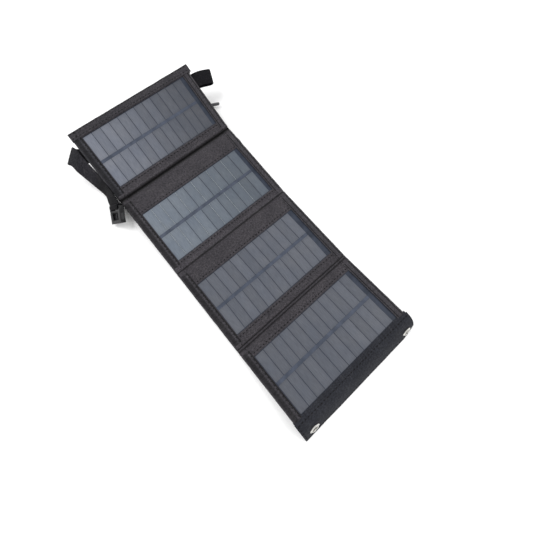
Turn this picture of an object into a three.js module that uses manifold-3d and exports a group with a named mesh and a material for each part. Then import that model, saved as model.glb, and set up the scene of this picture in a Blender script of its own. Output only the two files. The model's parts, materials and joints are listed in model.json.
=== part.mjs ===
// Fold-out solar charger: four fabric panels hinged in a row, a drooping grommet flap at the low end,
// and a wedge-shaped zipped pocket behind the top panel that holds the controller box.
// Millimetres. +Z up, X across the panels, +Y along them towards the top panel.
import * as THREE from "three";
import { mergeVertices } from "three/addons/utils/BufferGeometryUtils.js";
import Module from "manifold-3d";

const wasm = await Module();
wasm.setup();

// ---- Layers of a panel, from the front surface (z = 0) downwards
const GAP = 0.3;
const FABRIC = 0.5;
const CELL_TOP = -0.3;
const CELL_THICK = 0.3;
const SUBSTRATE_TOP = -0.9;
const SUBSTRATE = 0.7;
const BOARD_TOP = -1.9;
const BOARD = 1.0;
const BACK_TOP = -3.2;
const PANEL_THICK = 3.7;
const BINDING_OUT = GAP + FABRIC;

// ---- Panels: length, pitch of the front surface, and the window measured from the panel's own origin
const HALF_WIDTH = 100;
const FOLD_END = 0.6;
const FOLD_2_PITCH = 5.3;
const FOLD_1_PITCH = 14.3;
const FOLD_3_PITCH = 7.0;
const PANELS = {
  1: { from: 0, to: 116.9, window: [17.5, 102.8], board: [3, 113] },
  2: { from: 0, to: 132.0, window: [13.1, 98.3], board: [3, 113] },
  3: { from: -131.2, to: 0, window: [-114.6, -29.3], board: [-128, -12] },
  4: { from: -105.1, to: 0, window: [-102.6, -17.4], board: [-103, -8] },
};
const WINDOW_X = [-87, 88];
const BINDING_INNER = 87.6;
const FRONT_HEIGHT = PANEL_THICK + BINDING_OUT;

// ---- Cells: two rows of twelve strips joined by two tabbing ribbons
const CELLS_X = [-86.5, 82.5];
const CELL_COUNT = 12;
const CELL_SPACE = 0.5;
const CELL_ROW_SPACE = 4.6;
const RIBBON = 1.2;

// ---- Top hem
const HEM_DEPTH = 12;
const HEM_X = [-100.6, 103];

// ---- Flap with two grommets
const FLAP_X = [-101.5, 104];
const FLAP_RADIUS = 22.2;
const FLAP_TURN = 55;
const FLAP_STRAIGHT = 11.9;
const FLAP_FABRIC = 0.6;
const FLAP_START = 0.5;
const GROMMET_X = [-83.8, 88];
const GROMMET_FROM_EDGE = 9.4;
const GROMMET_OUTER = 9;
const GROMMET_HOLE = 5;
const GROMMET_BARREL = 6;
const GROMMET_WASHER = 7.6;

// ---- Pocket, level with the ground
const POCKET_X = 86.8;
const POCKET_WALL = 0.8;
const POCKET_ALONG = [13, 101];
const ZIP_HEIGHT = 7;
const ZIP_Y = [148, 224];
const ZIP_SLIT_CLOSED = 1.7;
const ZIP_SLIT_OPEN = 7.2;
const SLIDER_Y = 198;
const PULL_TURN = -25;

// ---- Webbing
const WEBBING = 25;
const WEBBING_THICK = 1.5;

const materials = {
  fabric: [0x464448, 0.9, 0],
  fabric_back: [0x3a3a3e, 0.92, 0],
  binding: [0x4a484b, 0.88, 0],
  flap: [0x34363c, 0.85, 0],
  cells: [0x69707a, 0.35, 0.1],
  substrate: [0x3c424e, 0.4, 0],
  board: [0x2a2b2e, 0.8, 0],
  webbing: [0x2c2c2f, 0.85, 0],
  plastic: [0x1a1a1c, 0.45, 0],
  metal: [0xc9c9c6, 0.25, 1],
  zip: [0x232326, 0.8, 0],
  slider: [0x8d8d90, 0.35, 1],
  grip: [0x55565a, 0.6, 0],
  circuit: [0x1d4d35, 0.6, 0],
};

function material(key) {
  const [color, roughness, metalness] = materials[key];
  return new THREE.MeshStandardMaterial({ color, roughness, metalness });
}

function named(geometry, name, key) {
  const mesh = new THREE.Mesh(geometry, material(key));
  mesh.name = name;
  return mesh;
}

// A box between two corners.
function block(x0, x1, y0, y1, z0, z1) {
  const g = new THREE.BoxGeometry(x1 - x0, y1 - y0, z1 - z0);
  return g.translate((x0 + x1) / 2, (y0 + y1) / 2, (z0 + z1) / 2);
}

// A closed outline [[a, b], ...] extruded by a depth, then turned so that a, b and the depth run along the given axes.
function prism(outline, depth, a, b, along, holes = []) {
  const shape = new THREE.Shape(outline.map((p) => new THREE.Vector2(...p)));
  shape.holes = holes.map((h) => new THREE.Path(h.map((p) => new THREE.Vector2(...p))));
  const g = new THREE.ExtrudeGeometry(shape, { depth, bevelEnabled: false, curveSegments: 12 });
  return g.applyMatrix4(new THREE.Matrix4().makeBasis(a, b, along));
}

const X = new THREE.Vector3(1, 0, 0);
const Y = new THREE.Vector3(0, 1, 0);
const Z = new THREE.Vector3(0, 0, 1);

// An outline in the Y-Z plane extruded along X from x0 to x1.
function prismAlongX(outline, x0, x1) {
  return prism(outline, x1 - x0, Y, Z, X).translate(x0, 0, 0);
}

// An outline in the X-Z plane extruded along Y from y0 to y1.
function prismAlongY(outline, y0, y1) {
  return prism(outline, y1 - y0, X, Z, Y.clone().negate()).translate(0, y1, 0);
}

// ---- Booleans
function toSolid(geometry) {
  const g = geometry.index ? geometry.toNonIndexed() : geometry.clone();
  g.deleteAttribute("normal");
  g.deleteAttribute("uv");
  const m = mergeVertices(g, 1e-4);
  const mesh = new wasm.Mesh({
    numProp: 3,
    vertProperties: m.attributes.position.array,
    triVerts: new Uint32Array(m.index.array),
  });
  return new wasm.Manifold(mesh);
}

function toGeometry(solid) {
  const m = solid.getMesh();
  const g = new THREE.BufferGeometry();
  g.setAttribute("position", new THREE.BufferAttribute(new Float32Array(m.vertProperties), 3));
  g.setIndex(new THREE.BufferAttribute(new Uint32Array(m.triVerts), 1));
  const flat = g.toNonIndexed();
  flat.computeVertexNormals();
  return flat;
}

function union(...geometries) {
  return toGeometry(geometries.map(toSolid).reduce((a, b) => a.add(b)));
}

function cut(geometry, ...tools) {
  return toGeometry(tools.map(toSolid).reduce((a, b) => a.subtract(b), toSolid(geometry)));
}

// ---- One panel's pieces, in the panel's own frame
function frontCover(k) {
  const { from, to, window: w } = PANELS[k];
  const x = HALF_WIDTH - FABRIC - GAP;
  const y0 = from + FOLD_END;
  const y1 = k === 1 ? to - FABRIC - GAP : to - FOLD_END;
  const outline = [[-x, y0], [x, y0], [x, y1], [-x, y1]];
  const hole = [[WINDOW_X[0], w[0]], [WINDOW_X[0], w[1]], [WINDOW_X[1], w[1]], [WINDOW_X[1], w[0]]];
  return prism(outline, FABRIC, X, Y, Z, [hole]).translate(0, 0, -FABRIC);
}

function backCover(k) {
  const { from, to } = PANELS[k];
  const x = HALF_WIDTH - FABRIC - GAP;
  const y1 = k === 1 ? to - FABRIC - GAP : to - FOLD_END;
  return block(-x, x, from + FOLD_END, y1, BACK_TOP - FABRIC, BACK_TOP);
}

function substrate(k) {
  const [w0, w1] = PANELS[k].window;
  return block(WINDOW_X[0] - 5, WINDOW_X[1] + 5, w0 - 2, w1 + 4, SUBSTRATE_TOP - SUBSTRATE, SUBSTRATE_TOP);
}

function board(k) {
  const [b0, b1] = PANELS[k].board;
  return block(-HALF_WIDTH + 3, HALF_WIDTH - 3, b0, b1, BOARD_TOP - BOARD, BOARD_TOP);
}

function cellString(k) {
  const [w0, w1] = PANELS[k].window;
  const y0 = w0 + 1;
  const y1 = w1 - 1;
  const rowLength = (y1 - y0 - CELL_ROW_SPACE) / 2;
  const pitch = (CELLS_X[1] - CELLS_X[0] + CELL_SPACE) / CELL_COUNT;
  const low = CELL_TOP - CELL_THICK;
  const pieces = [];
  for (let i = 0; i < CELL_COUNT; i++) {
    const x = CELLS_X[0] + i * pitch;
    pieces.push(block(x, x + pitch - CELL_SPACE, y0, y0 + rowLength, low, CELL_TOP));
    pieces.push(block(x, x + pitch - CELL_SPACE, y1 - rowLength, y1, low, CELL_TOP));
  }
  for (const y of [y0 + rowLength / 2, y1 - rowLength / 2]) {
    pieces.push(block(CELLS_X[0] + 1, CELLS_X[1] - 1, y - RIBBON / 2, y + RIBBON / 2, low, low + 0.15));
  }
  const bus = CELLS_X[1] - 2;
  pieces.push(block(bus - RIBBON, bus, y0 + rowLength - 1, y1 - rowLength + 1, low, low + 0.15));
  return union(...pieces);
}

// A folded tape round one side edge. side is -1 for the left edge and 1 for the right.
function sideBinding(k, side) {
  const { from, to } = PANELS[k];
  const top = BINDING_OUT;
  const low = -PANEL_THICK - BINDING_OUT;
  const outline = [
    [HALF_WIDTH, low],
    [HALF_WIDTH, top],
    [BINDING_INNER, top],
    [BINDING_INNER, top - FABRIC],
    [HALF_WIDTH - FABRIC, top - FABRIC],
    [HALF_WIDTH - FABRIC, low + FABRIC],
    [BINDING_INNER, low + FABRIC],
    [BINDING_INNER, low],
  ];
  const turned = side > 0 ? outline : outline.map(([x, z]) => [-x, z]).reverse();
  const y1 = k === 1 ? to - FABRIC - GAP : to - FOLD_END;
  return prismAlongY(turned, from + FOLD_END, y1);
}

function topHem() {
  const end = PANELS[1].to;
  const top = BINDING_OUT + GAP + FABRIC;
  const low = -PANEL_THICK - BINDING_OUT - GAP - FABRIC;
  const outline = [
    [end - HEM_DEPTH, low],
    [end, low],
    [end, top],
    [end - HEM_DEPTH, top],
    [end - HEM_DEPTH, top - FABRIC],
    [end - FABRIC, top - FABRIC],
    [end - FABRIC, low + FABRIC],
    [end - HEM_DEPTH, low + FABRIC],
  ];
  return prismAlongX(outline, HEM_X[0], HEM_X[1]);
}

function addPanel(group, k) {
  group.add(named(frontCover(k), `front_cover_${k}`, "fabric"));
  group.add(named(cellString(k), `cell_string_${k}`, "cells"));
  group.add(named(substrate(k), `laminate_${k}`, "substrate"));
  group.add(named(board(k), `stiffener_${k}`, "board"));
  group.add(named(backCover(k), `back_cover_${k}`, "fabric_back"));
  group.add(named(sideBinding(k, -1), `binding_left_${k}`, "binding"));
  group.add(named(sideBinding(k, 1), `binding_right_${k}`, "binding"));
}

// ---- Flap: a point at arc distance s from the seam and depth d under its outer face, in panel 4's frame
function flapPoint(s, d) {
  const y0 = PANELS[4].from;
  const turn = Math.min(s / FLAP_RADIUS, THREE.MathUtils.degToRad(FLAP_TURN));
  const r = FLAP_RADIUS - d;
  const rest = Math.max(0, s - turn * FLAP_RADIUS);
  const y = y0 - r * Math.sin(turn) - rest * Math.cos(turn);
  const z = -FLAP_RADIUS + r * Math.cos(turn) - rest * Math.sin(turn);
  return [y, z];
}

const FLAP_LENGTH = FLAP_RADIUS * THREE.MathUtils.degToRad(FLAP_TURN) + FLAP_STRAIGHT;

// One layer of the flap between two depths, with its grommet holes cut.
function flapLayer(outer, inner) {
  const steps = 12;
  const bend = FLAP_LENGTH - FLAP_STRAIGHT;
  const stations = [];
  for (let i = 0; i <= steps; i++) {
    stations.push(FLAP_START + ((bend - FLAP_START) * i) / steps);
  }
  stations.push(FLAP_LENGTH);
  const out = stations.map((s) => flapPoint(s, outer));
  const back = stations.map((s) => flapPoint(s, inner)).reverse();
  const sheet = prismAlongX([...out, ...back], FLAP_X[0], FLAP_X[1]);
  const holes = GROMMET_X.map((x) => atGrommet(new THREE.CylinderGeometry(6.3, 6.3, 12, 32), x));
  return cut(sheet, ...holes, flapCorner());
}

// The rounded right-hand corner of the flap's free edge, as the piece that is cut away.
function flapCorner() {
  const r = 7;
  const x = FLAP_X[1];
  const outline = [[x - r, -1], [x + 1, -1], [x + 1, r], [x, r]];
  for (let i = 1; i < 8; i++) {
    const a = (Math.PI / 2) * (i / 8);
    outline.push([x - r + r * Math.cos(a), r - r * Math.sin(a)]);
  }
  const tool = prism(outline, 8, X, Y, Z).translate(0, 0, -4);
  const [y, z] = flapPoint(FLAP_LENGTH, 0);
  tool.rotateX(THREE.MathUtils.degToRad(FLAP_TURN));
  return tool.translate(0, y, z);
}

// Turns a geometry whose axis is Y so that it stands on the flap's outer face at a grommet's centre.
function atGrommet(geometry, x) {
  const [y, z] = flapPoint(FLAP_LENGTH - GROMMET_FROM_EDGE, 0);
  geometry.rotateX(Math.PI / 2 + THREE.MathUtils.degToRad(FLAP_TURN));
  return geometry.translate(x, y, z);
}

// Eyelet: rolled front rim and a barrel through both layers.
function grommet(x) {
  const profile = [
    [GROMMET_HOLE, -3.3],
    [GROMMET_BARREL, -3.3],
    [GROMMET_BARREL, 0.3],
    [GROMMET_OUTER, 0.3],
    [GROMMET_OUTER, 0.7],
    [GROMMET_OUTER - 0.7, 1.3],
    [GROMMET_HOLE + 0.9, 1.3],
    [GROMMET_HOLE, 0.8],
    [GROMMET_HOLE, -3.3],
  ];
  const points = profile.map((p) => new THREE.Vector2(...p));
  return atGrommet(new THREE.LatheGeometry(points, 40), x);
}

function grommetWasher(x) {
  const profile = [
    [GROMMET_BARREL + 0.2, -3.0],
    [GROMMET_WASHER, -3.0],
    [GROMMET_WASHER, -2.4],
    [GROMMET_BARREL + 0.2, -2.4],
    [GROMMET_BARREL + 0.2, -3.0],
  ];
  const points = profile.map((p) => new THREE.Vector2(...p));
  return atGrommet(new THREE.LatheGeometry(points, 40), x);
}

function addFlap(group) {
  group.add(named(flapLayer(0, FLAP_FABRIC), "flap_front", "flap"));
  group.add(named(flapLayer(FLAP_FABRIC + GAP, 2 * FLAP_FABRIC + GAP), "flap_back", "flap"));
  group.add(named(grommet(GROMMET_X[0]), "grommet_left", "metal"));
  group.add(named(grommet(GROMMET_X[1]), "grommet_right", "metal"));
  group.add(named(grommetWasher(GROMMET_X[0]), "grommet_washer_left", "metal"));
  group.add(named(grommetWasher(GROMMET_X[1]), "grommet_washer_right", "metal"));
}

// ---- Controller box on the back of panel 1, in panel 1's frame
const CASE = { x: [-72, -4], y: [50, 88], top: -4.0, low: -18.0, wall: 1.6 };
const PORT = { y: [61, 78], half: [6.6, 2.9], depth: 12 };

function portHole(y) {
  const zc = (CASE.top + CASE.low) / 2;
  const [hy, hz] = PORT.half;
  return block(CASE.x[1] - 4, CASE.x[1] + 2, y - hy - 0.3, y + hy + 0.3, zc - hz - 0.3, zc + hz + 0.3);
}

function controllerCase() {
  const { x, y, top, low, wall } = CASE;
  const body = block(x[0], x[1], y[0], y[1], low + wall + GAP, top);
  const hollow = block(x[0] + wall, x[1] - wall, y[0] + wall, y[1] - wall, low, top - wall);
  return cut(body, hollow, ...PORT.y.map(portHole));
}

function controllerLid() {
  return block(CASE.x[0], CASE.x[1], CASE.y[0], CASE.y[1], CASE.low, CASE.low + CASE.wall);
}

function usbPort(y) {
  const zc = (CASE.top + CASE.low) / 2;
  const [hy, hz] = PORT.half;
  const out = CASE.x[1] + 0.4;
  const shell = block(out - PORT.depth, out, y - hy, y + hy, zc - hz, zc + hz);
  const mouth = block(out - PORT.depth + 1, out + 1, y - hy + 0.5, y + hy - 0.5, zc - hz + 0.5, zc + hz - 0.5);
  const tongue = block(out - PORT.depth + 0.5, out - 1, y - hy + 1.4, y + hy - 1.4, zc + 0.3, zc + 1.5);
  return union(cut(shell, mouth), tongue);
}

function circuitBoard() {
  const { x, y, wall } = CASE;
  const zc = (CASE.top + CASE.low) / 2;
  const top = zc - PORT.half[1] - GAP;
  return block(x[0] + wall + 2, x[1] - wall - 1, y[0] + wall + 1, y[1] - wall - 1, top - 1.2, top);
}

function addController(group) {
  group.add(named(controllerCase(), "controller_case", "plastic"));
  group.add(named(controllerLid(), "controller_lid", "plastic"));
  group.add(named(circuitBoard(), "controller_board", "circuit"));
  group.add(named(usbPort(PORT.y[0]), "usb_port_1", "metal"));
  group.add(named(usbPort(PORT.y[1]), "usb_port_2", "metal"));
}

// ---- Loop of webbing at the right edge, in panel 1's frame: both ends are sewn to the panel's back
const LOOP = { centre: 91, root: 89, end: 131, upper: -5.2, space: 8.2 };

function loopRight() {
  const { centre, root, end, upper, space } = LOOP;
  const t = WEBBING_THICK;
  const half = space / 2;
  const mid = upper - t - half;
  const steps = 10;
  const arc = (r) => {
    const points = [];
    for (let i = 0; i <= steps; i++) {
      const a = Math.PI / 2 - (Math.PI * i) / steps;
      points.push([end - half - t + r * Math.cos(a), mid + r * Math.sin(a)]);
    }
    return points;
  };
  const outer = [[root, upper], ...arc(half + t), [root + 10, mid - half - t], [root, upper - 2 * t]];
  const inner = [[root + 3.2, upper - t], ...arc(half), [root + 11, mid - half]];
  const y0 = centre - WEBBING / 2;
  const y1 = centre + WEBBING / 2;
  return cut(prismAlongY(outer.reverse(), y0, y1), prismAlongY(inner.reverse(), y0 - 1, y1 + 1));
}

// ---- Ribbon of webbing through stations [centre, width direction, face normal]
function ribbon(stations, width, thick) {
  const rings = stations.map(({ c, u, n }) => {
    const centre = new THREE.Vector3(...c);
    const across = new THREE.Vector3(...u).normalize().multiplyScalar(width / 2);
    const face = new THREE.Vector3(...n);
    face.addScaledVector(across, -face.dot(across) / across.lengthSq());
    face.normalize().multiplyScalar(thick / 2);
    return [
      centre.clone().sub(across).sub(face),
      centre.clone().add(across).sub(face),
      centre.clone().add(across).add(face),
      centre.clone().sub(across).add(face),
    ];
  });
  const positions = [];
  const put = (...points) => points.forEach((p) => positions.push(p.x, p.y, p.z));
  const quad = (a, b, c, d) => put(a, b, c, a, c, d);
  for (let i = 0; i + 1 < rings.length; i++) {
    for (let j = 0; j < 4; j++) {
      const k = (j + 1) % 4;
      quad(rings[i][j], rings[i + 1][j], rings[i + 1][k], rings[i][k]);
    }
  }
  const last = rings[rings.length - 1];
  quad(rings[0][0], rings[0][1], rings[0][2], rings[0][3]);
  quad(last[3], last[2], last[1], last[0]);
  const g = new THREE.BufferGeometry();
  g.setAttribute("position", new THREE.Float32BufferAttribute(positions, 3));
  g.computeVertexNormals();
  return g;
}

// Stations between hand-set ones, along a smooth curve.
function smooth(stations, steps) {
  const curve = (key) => new THREE.CatmullRomCurve3(stations.map((s) => new THREE.Vector3(...s[key])));
  const curves = { c: curve("c"), u: curve("u"), n: curve("n") };
  const made = [];
  for (let i = 0; i <= steps; i++) {
    const at = (key) => curves[key].getPoint(i / steps).toArray();
    made.push({ c: at("c"), u: at("u"), n: at("n") });
  }
  return made;
}

// The left strap leaves the pocket's side, folds back over itself, then stands on its edge beside the panels.
const STRAP_ROOT = [
  { c: [-88.2, 214, 27], u: [0, 1, 0], n: [-0.2, 0, 1] },
  { c: [-98, 216, 29.5], u: [0.3, 1, 0.1], n: [-0.25, 0, 1] },
  { c: [-107, 219, 31.5], u: [0.65, 0.72, 0.2], n: [-0.2, -0.1, 1] },
  { c: [-113.5, 223, 33], u: [0.76, 0.56, 0.3], n: [-0.4, 0.3, 0.8] },
  { c: [-115.6, 225.6, 35.2], u: [0.76, 0.56, 0.3], n: [-0.75, 0.75, 0.1] },
  { c: [-114.2, 223.5, 37.4], u: [0.76, 0.56, 0.3], n: [0.3, -0.3, -0.85] },
  { c: [-112.8, 217, 37.4], u: [0.76, 0.52, 0.38], n: [0.3, 0.1, -0.9] },
  { c: [-112.5, 209, 35.4], u: [0.74, 0.46, 0.47], n: [0.33, 0.25, -0.85] },
];
const STRAP_FREE = [
  { c: [-112.3, 206.6, 34.6], u: [0.73, 0.44, 0.5], n: [0.34, 0.3, -0.8] },
  { c: [-109.4, 190, 28.5], u: [0.52, 0.28, 0.8], n: [0.7, 0.2, -0.5] },
  { c: [-106.8, 172, 23.6], u: [0.32, 0.1, 0.94], n: [0.9, 0.05, -0.3] },
  { c: [-106.2, 155, 21], u: [0.27, -0.1, 0.95], n: [0.95, -0.1, -0.3] },
  { c: [-107.2, 141, 20.2], u: [0.4, -0.38, 0.84], n: [0.85, -0.1, -0.5] },
  { c: [-109, 130.6, 19.7], u: [0.51, -0.565, 0.65], n: [0.72, -0.12, -0.68] },
];

// ---- Buckle: body with a cross-bar for the webbing, an open mouth and a guide rib, along its own +Y
const BUCKLE = { width: 24, length: 25, thick: 7.5 };

function buckle() {
  const { width, length, thick } = BUCKLE;
  const w = width / 2;
  const h = length / 2;
  const body = block(-w, w, -h, h, -thick, 0);
  const mouth = block(-w + 2, w - 2, -h - 1, h - 9, -thick + 1.4, -1.4);
  const slot = block(-w + 2, w - 2, h - 6.5, h - 2.5, -thick - 1, 1);
  const face = block(-6.5, 6.5, -h + 5, h - 9.5, -2, 1);
  const left = block(-w - 1, -w + 3, -h + 5, h - 11, -thick + 1.4, -1.4);
  const right = block(w - 3, w + 1, -h + 5, h - 11, -thick + 1.4, -1.4);
  const rib = block(-1.2, 1.2, -h + 3, h - 8, -thick + 0.5, -2);
  return union(cut(body, mouth, slot, face, left, right), rib);
}

const BUCKLE_AT = { face: [-117.6, 119, 17.8], across: [0.51, -0.565, 0.65], along: [0.47, 0.82, 0.34] };

function placeBuckle(mesh) {
  const x = new THREE.Vector3(...BUCKLE_AT.across).normalize();
  const y = new THREE.Vector3(...BUCKLE_AT.along);
  y.addScaledVector(x, -y.dot(x)).normalize();
  const z = x.clone().cross(y);
  mesh.quaternion.setFromRotationMatrix(new THREE.Matrix4().makeBasis(x, y, z));
  mesh.position.set(...BUCKLE_AT.face);
  return mesh;
}

// ---- Pocket walls, level with the ground
const P1_PITCH = THREE.MathUtils.degToRad(FOLD_2_PITCH + FOLD_1_PITCH);
const P2_PITCH = THREE.MathUtils.degToRad(FOLD_2_PITCH);
const FOLD_1_AT = [
  PANELS[2].to * Math.cos(P2_PITCH),
  FRONT_HEIGHT + PANELS[2].to * Math.sin(P2_PITCH),
];

// A point on panel 1 at distance v from fold 1 and depth d under the front surface, as [y, z].
function underPanel1(v, d) {
  const y = FOLD_1_AT[0] + v * Math.cos(P1_PITCH) + d * Math.sin(P1_PITCH);
  const z = FOLD_1_AT[1] + v * Math.sin(P1_PITCH) - d * Math.cos(P1_PITCH);
  return [y, z];
}

// Height of the pocket's ceiling at a world y.
function ceiling(y) {
  const [y0, z0] = underPanel1(0, PANEL_THICK + GAP);
  return z0 + (y - y0) * Math.tan(P1_PITCH);
}

const POCKET_LOW_Y = underPanel1(POCKET_ALONG[0], PANEL_THICK + GAP)[0];
const POCKET_HIGH_Y = underPanel1(POCKET_ALONG[1], PANEL_THICK + GAP)[0];
const FLOOR_TOP = POCKET_WALL + GAP;

function pocketBase() {
  return block(-POCKET_X, POCKET_X, POCKET_LOW_Y, POCKET_HIGH_Y, 0, POCKET_WALL);
}

function wallOutline(y0, y1, low) {
  return [[y0, low], [y1, low], [y1, ceiling(y1)], [y0, ceiling(y0)]];
}

function gussetLeft() {
  return prismAlongX(wallOutline(POCKET_LOW_Y, POCKET_HIGH_Y, FLOOR_TOP), -POCKET_X, -POCKET_X + POCKET_WALL);
}

function gussetTop() {
  const x = POCKET_X - POCKET_WALL - GAP;
  return prismAlongX(wallOutline(POCKET_HIGH_Y - POCKET_WALL, POCKET_HIGH_Y, FLOOR_TOP), -x, x);
}

function gussetLow() {
  const x = POCKET_X - POCKET_WALL - GAP;
  return prismAlongX(wallOutline(POCKET_LOW_Y, POCKET_LOW_Y + POCKET_WALL, FLOOR_TOP), -x, x);
}

const TAPE_LOW = 2.4;
const TAPE_TOP = 13.2;

function gussetRightUpper() {
  const outline = wallOutline(POCKET_LOW_Y, POCKET_HIGH_Y, TAPE_TOP + GAP);
  return prismAlongX(outline, POCKET_X - POCKET_WALL, POCKET_X);
}

function gussetRightLower() {
  return block(POCKET_X - POCKET_WALL, POCKET_X, POCKET_LOW_Y, POCKET_HIGH_Y, FLOOR_TOP, TAPE_LOW - GAP);
}

// A zip tape: its edge steps back where the zip is open, between the slider and the low end.
function zipTape(upper) {
  const sign = upper ? 1 : -1;
  const shut = ZIP_HEIGHT + (sign * ZIP_SLIT_CLOSED) / 2;
  const open = ZIP_HEIGHT + (sign * ZIP_SLIT_OPEN) / 2;
  const outer = upper ? TAPE_TOP : TAPE_LOW;
  const y0 = POCKET_LOW_Y;
  const y1 = POCKET_HIGH_Y;
  const outline = [[y0, open], [SLIDER_Y - 9, open], [SLIDER_Y - 2, shut], [y1, shut], [y1, outer], [y0, outer]];
  return prismAlongX(upper ? outline : outline.reverse(), POCKET_X - POCKET_WALL, POCKET_X);
}

// A clamped stop at one end of the zip: two cheeks joined by a bridge through the slit.
function zipStop(y) {
  const out = POCKET_X + GAP;
  const inside = POCKET_X - POCKET_WALL - GAP;
  const cheek = (x0, x1) => block(x0, x1, y - 1.2, y + 1.2, ZIP_HEIGHT - 4.4, ZIP_HEIGHT + 4.4);
  const bridge = block(inside - 1, out + 1, y - 0.9, y + 0.9, ZIP_HEIGHT - 0.5, ZIP_HEIGHT + 0.5);
  return union(cheek(out, out + 0.8), cheek(inside - 0.8, inside), bridge);
}

// Slider: an outer and an inner plate joined by a post in the slit, and a bridge that holds the pull.
const BRIDGE = { x: [88.3, 90.9], axis: 89.6 };

function zipSlider() {
  const out = POCKET_X + GAP;
  const inside = POCKET_X - POCKET_WALL - GAP;
  const plate = (x0, x1) => block(x0, x1, SLIDER_Y - 5.5, SLIDER_Y + 5.5, ZIP_HEIGHT - 4.2, ZIP_HEIGHT + 4.2);
  const post = block(inside - 1, out + 1, SLIDER_Y - 2.5, SLIDER_Y + 2.5, ZIP_HEIGHT - 0.5, ZIP_HEIGHT + 0.5);
  const bridge = block(out + 1, BRIDGE.x[1], SLIDER_Y - 3, SLIDER_Y + 3, ZIP_HEIGHT - 0.8, ZIP_HEIGHT + 0.8);
  const eye = block(BRIDGE.axis - 0.75, BRIDGE.axis + 0.75, SLIDER_Y - 1.6, SLIDER_Y + 1.6, 0, 20);
  return cut(union(plate(out, out + 1.2), plate(inside - 1.2, inside), post, bridge), eye);
}

// Pull: a wire stirrup through the slider's eye and a moulded grip, along +X from its own hinge axis.
function zipPull() {
  const bar = block(-0.4, 0.4, -0.4, 0.4, -3, 3);
  const arm = (z0) => block(-0.4, 6, -0.5, 0.5, z0, z0 + 1);
  const grip = new THREE.CapsuleGeometry(2.2, 26, 6, 16);
  grip.rotateZ(-Math.PI / 2);
  grip.scale(1, 1, 1.35);
  grip.translate(20.8, 0, 0);
  return union(bar, arm(2), arm(-3), block(5, 7.4, -0.5, 0.5, -3, 3), grip);
}

function addPocket(group) {
  group.add(named(pocketBase(), "pocket_base", "fabric_back"));
  group.add(named(gussetLeft(), "pocket_gusset_left", "fabric_back"));
  group.add(named(gussetTop(), "pocket_gusset_top", "fabric_back"));
  group.add(named(gussetLow(), "pocket_gusset_low", "fabric_back"));
  group.add(named(gussetRightUpper(), "pocket_gusset_right_upper", "fabric_back"));
  group.add(named(gussetRightLower(), "pocket_gusset_right_lower", "fabric_back"));
  group.add(named(zipTape(true), "zip_tape_upper", "zip"));
  group.add(named(zipTape(false), "zip_tape_lower", "zip"));
  group.add(named(zipStop(ZIP_Y[0]), "zip_stop_low", "metal"));
  group.add(named(zipStop(ZIP_Y[1]), "zip_stop_top", "metal"));
  group.add(named(zipSlider(), "zip_slider", "slider"));
  const pull = named(zipPull(), "zip_pull", "grip");
  pull.position.set(BRIDGE.axis, SLIDER_Y, ZIP_HEIGHT);
  pull.rotation.z = THREE.MathUtils.degToRad(PULL_TURN);
  group.add(pull);
}

function addStrap(group) {
  group.add(named(ribbon(smooth(STRAP_ROOT, 40), WEBBING, WEBBING_THICK), "strap_root", "webbing"));
  group.add(named(ribbon(smooth(STRAP_FREE, 24), WEBBING, WEBBING_THICK), "strap_free", "webbing"));
  group.add(placeBuckle(named(buckle(), "buckle", "plastic")));
}

// ---- The whole charger, unfolded and at rest
function charger() {
  const root = new THREE.Group();
  const panel = {};
  for (const k of [1, 2, 3, 4]) {
    panel[k] = new THREE.Group();
    panel[k].name = `panel_${k}_frame`;
    addPanel(panel[k], k);
    root.add(panel[k]);
  }
  panel[3].position.set(0, 0, FRONT_HEIGHT);
  panel[2].position.set(0, 0, FRONT_HEIGHT);
  panel[2].rotation.x = P2_PITCH;
  panel[1].position.set(0, FOLD_1_AT[0], FOLD_1_AT[1]);
  panel[1].rotation.x = P1_PITCH;
  panel[4].position.set(0, PANELS[3].from, FRONT_HEIGHT);
  panel[4].rotation.x = -THREE.MathUtils.degToRad(FOLD_3_PITCH);
  panel[1].add(named(topHem(), "top_hem", "binding"));
  panel[1].add(named(loopRight(), "loop_right", "webbing"));
  addController(panel[1]);
  addFlap(panel[4]);
  addPocket(root);
  addStrap(root);
  return root;
}

const root = charger();
const box = new THREE.Box3().setFromObject(root, true);
root.position.set(-(box.min.x + box.max.x) / 2, -(box.min.y + box.max.y) / 2, -box.min.z);

export default root;
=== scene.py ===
"""Looks of the fold-out solar charger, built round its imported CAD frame. Metres, +Z up."""

import json
import math

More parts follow.
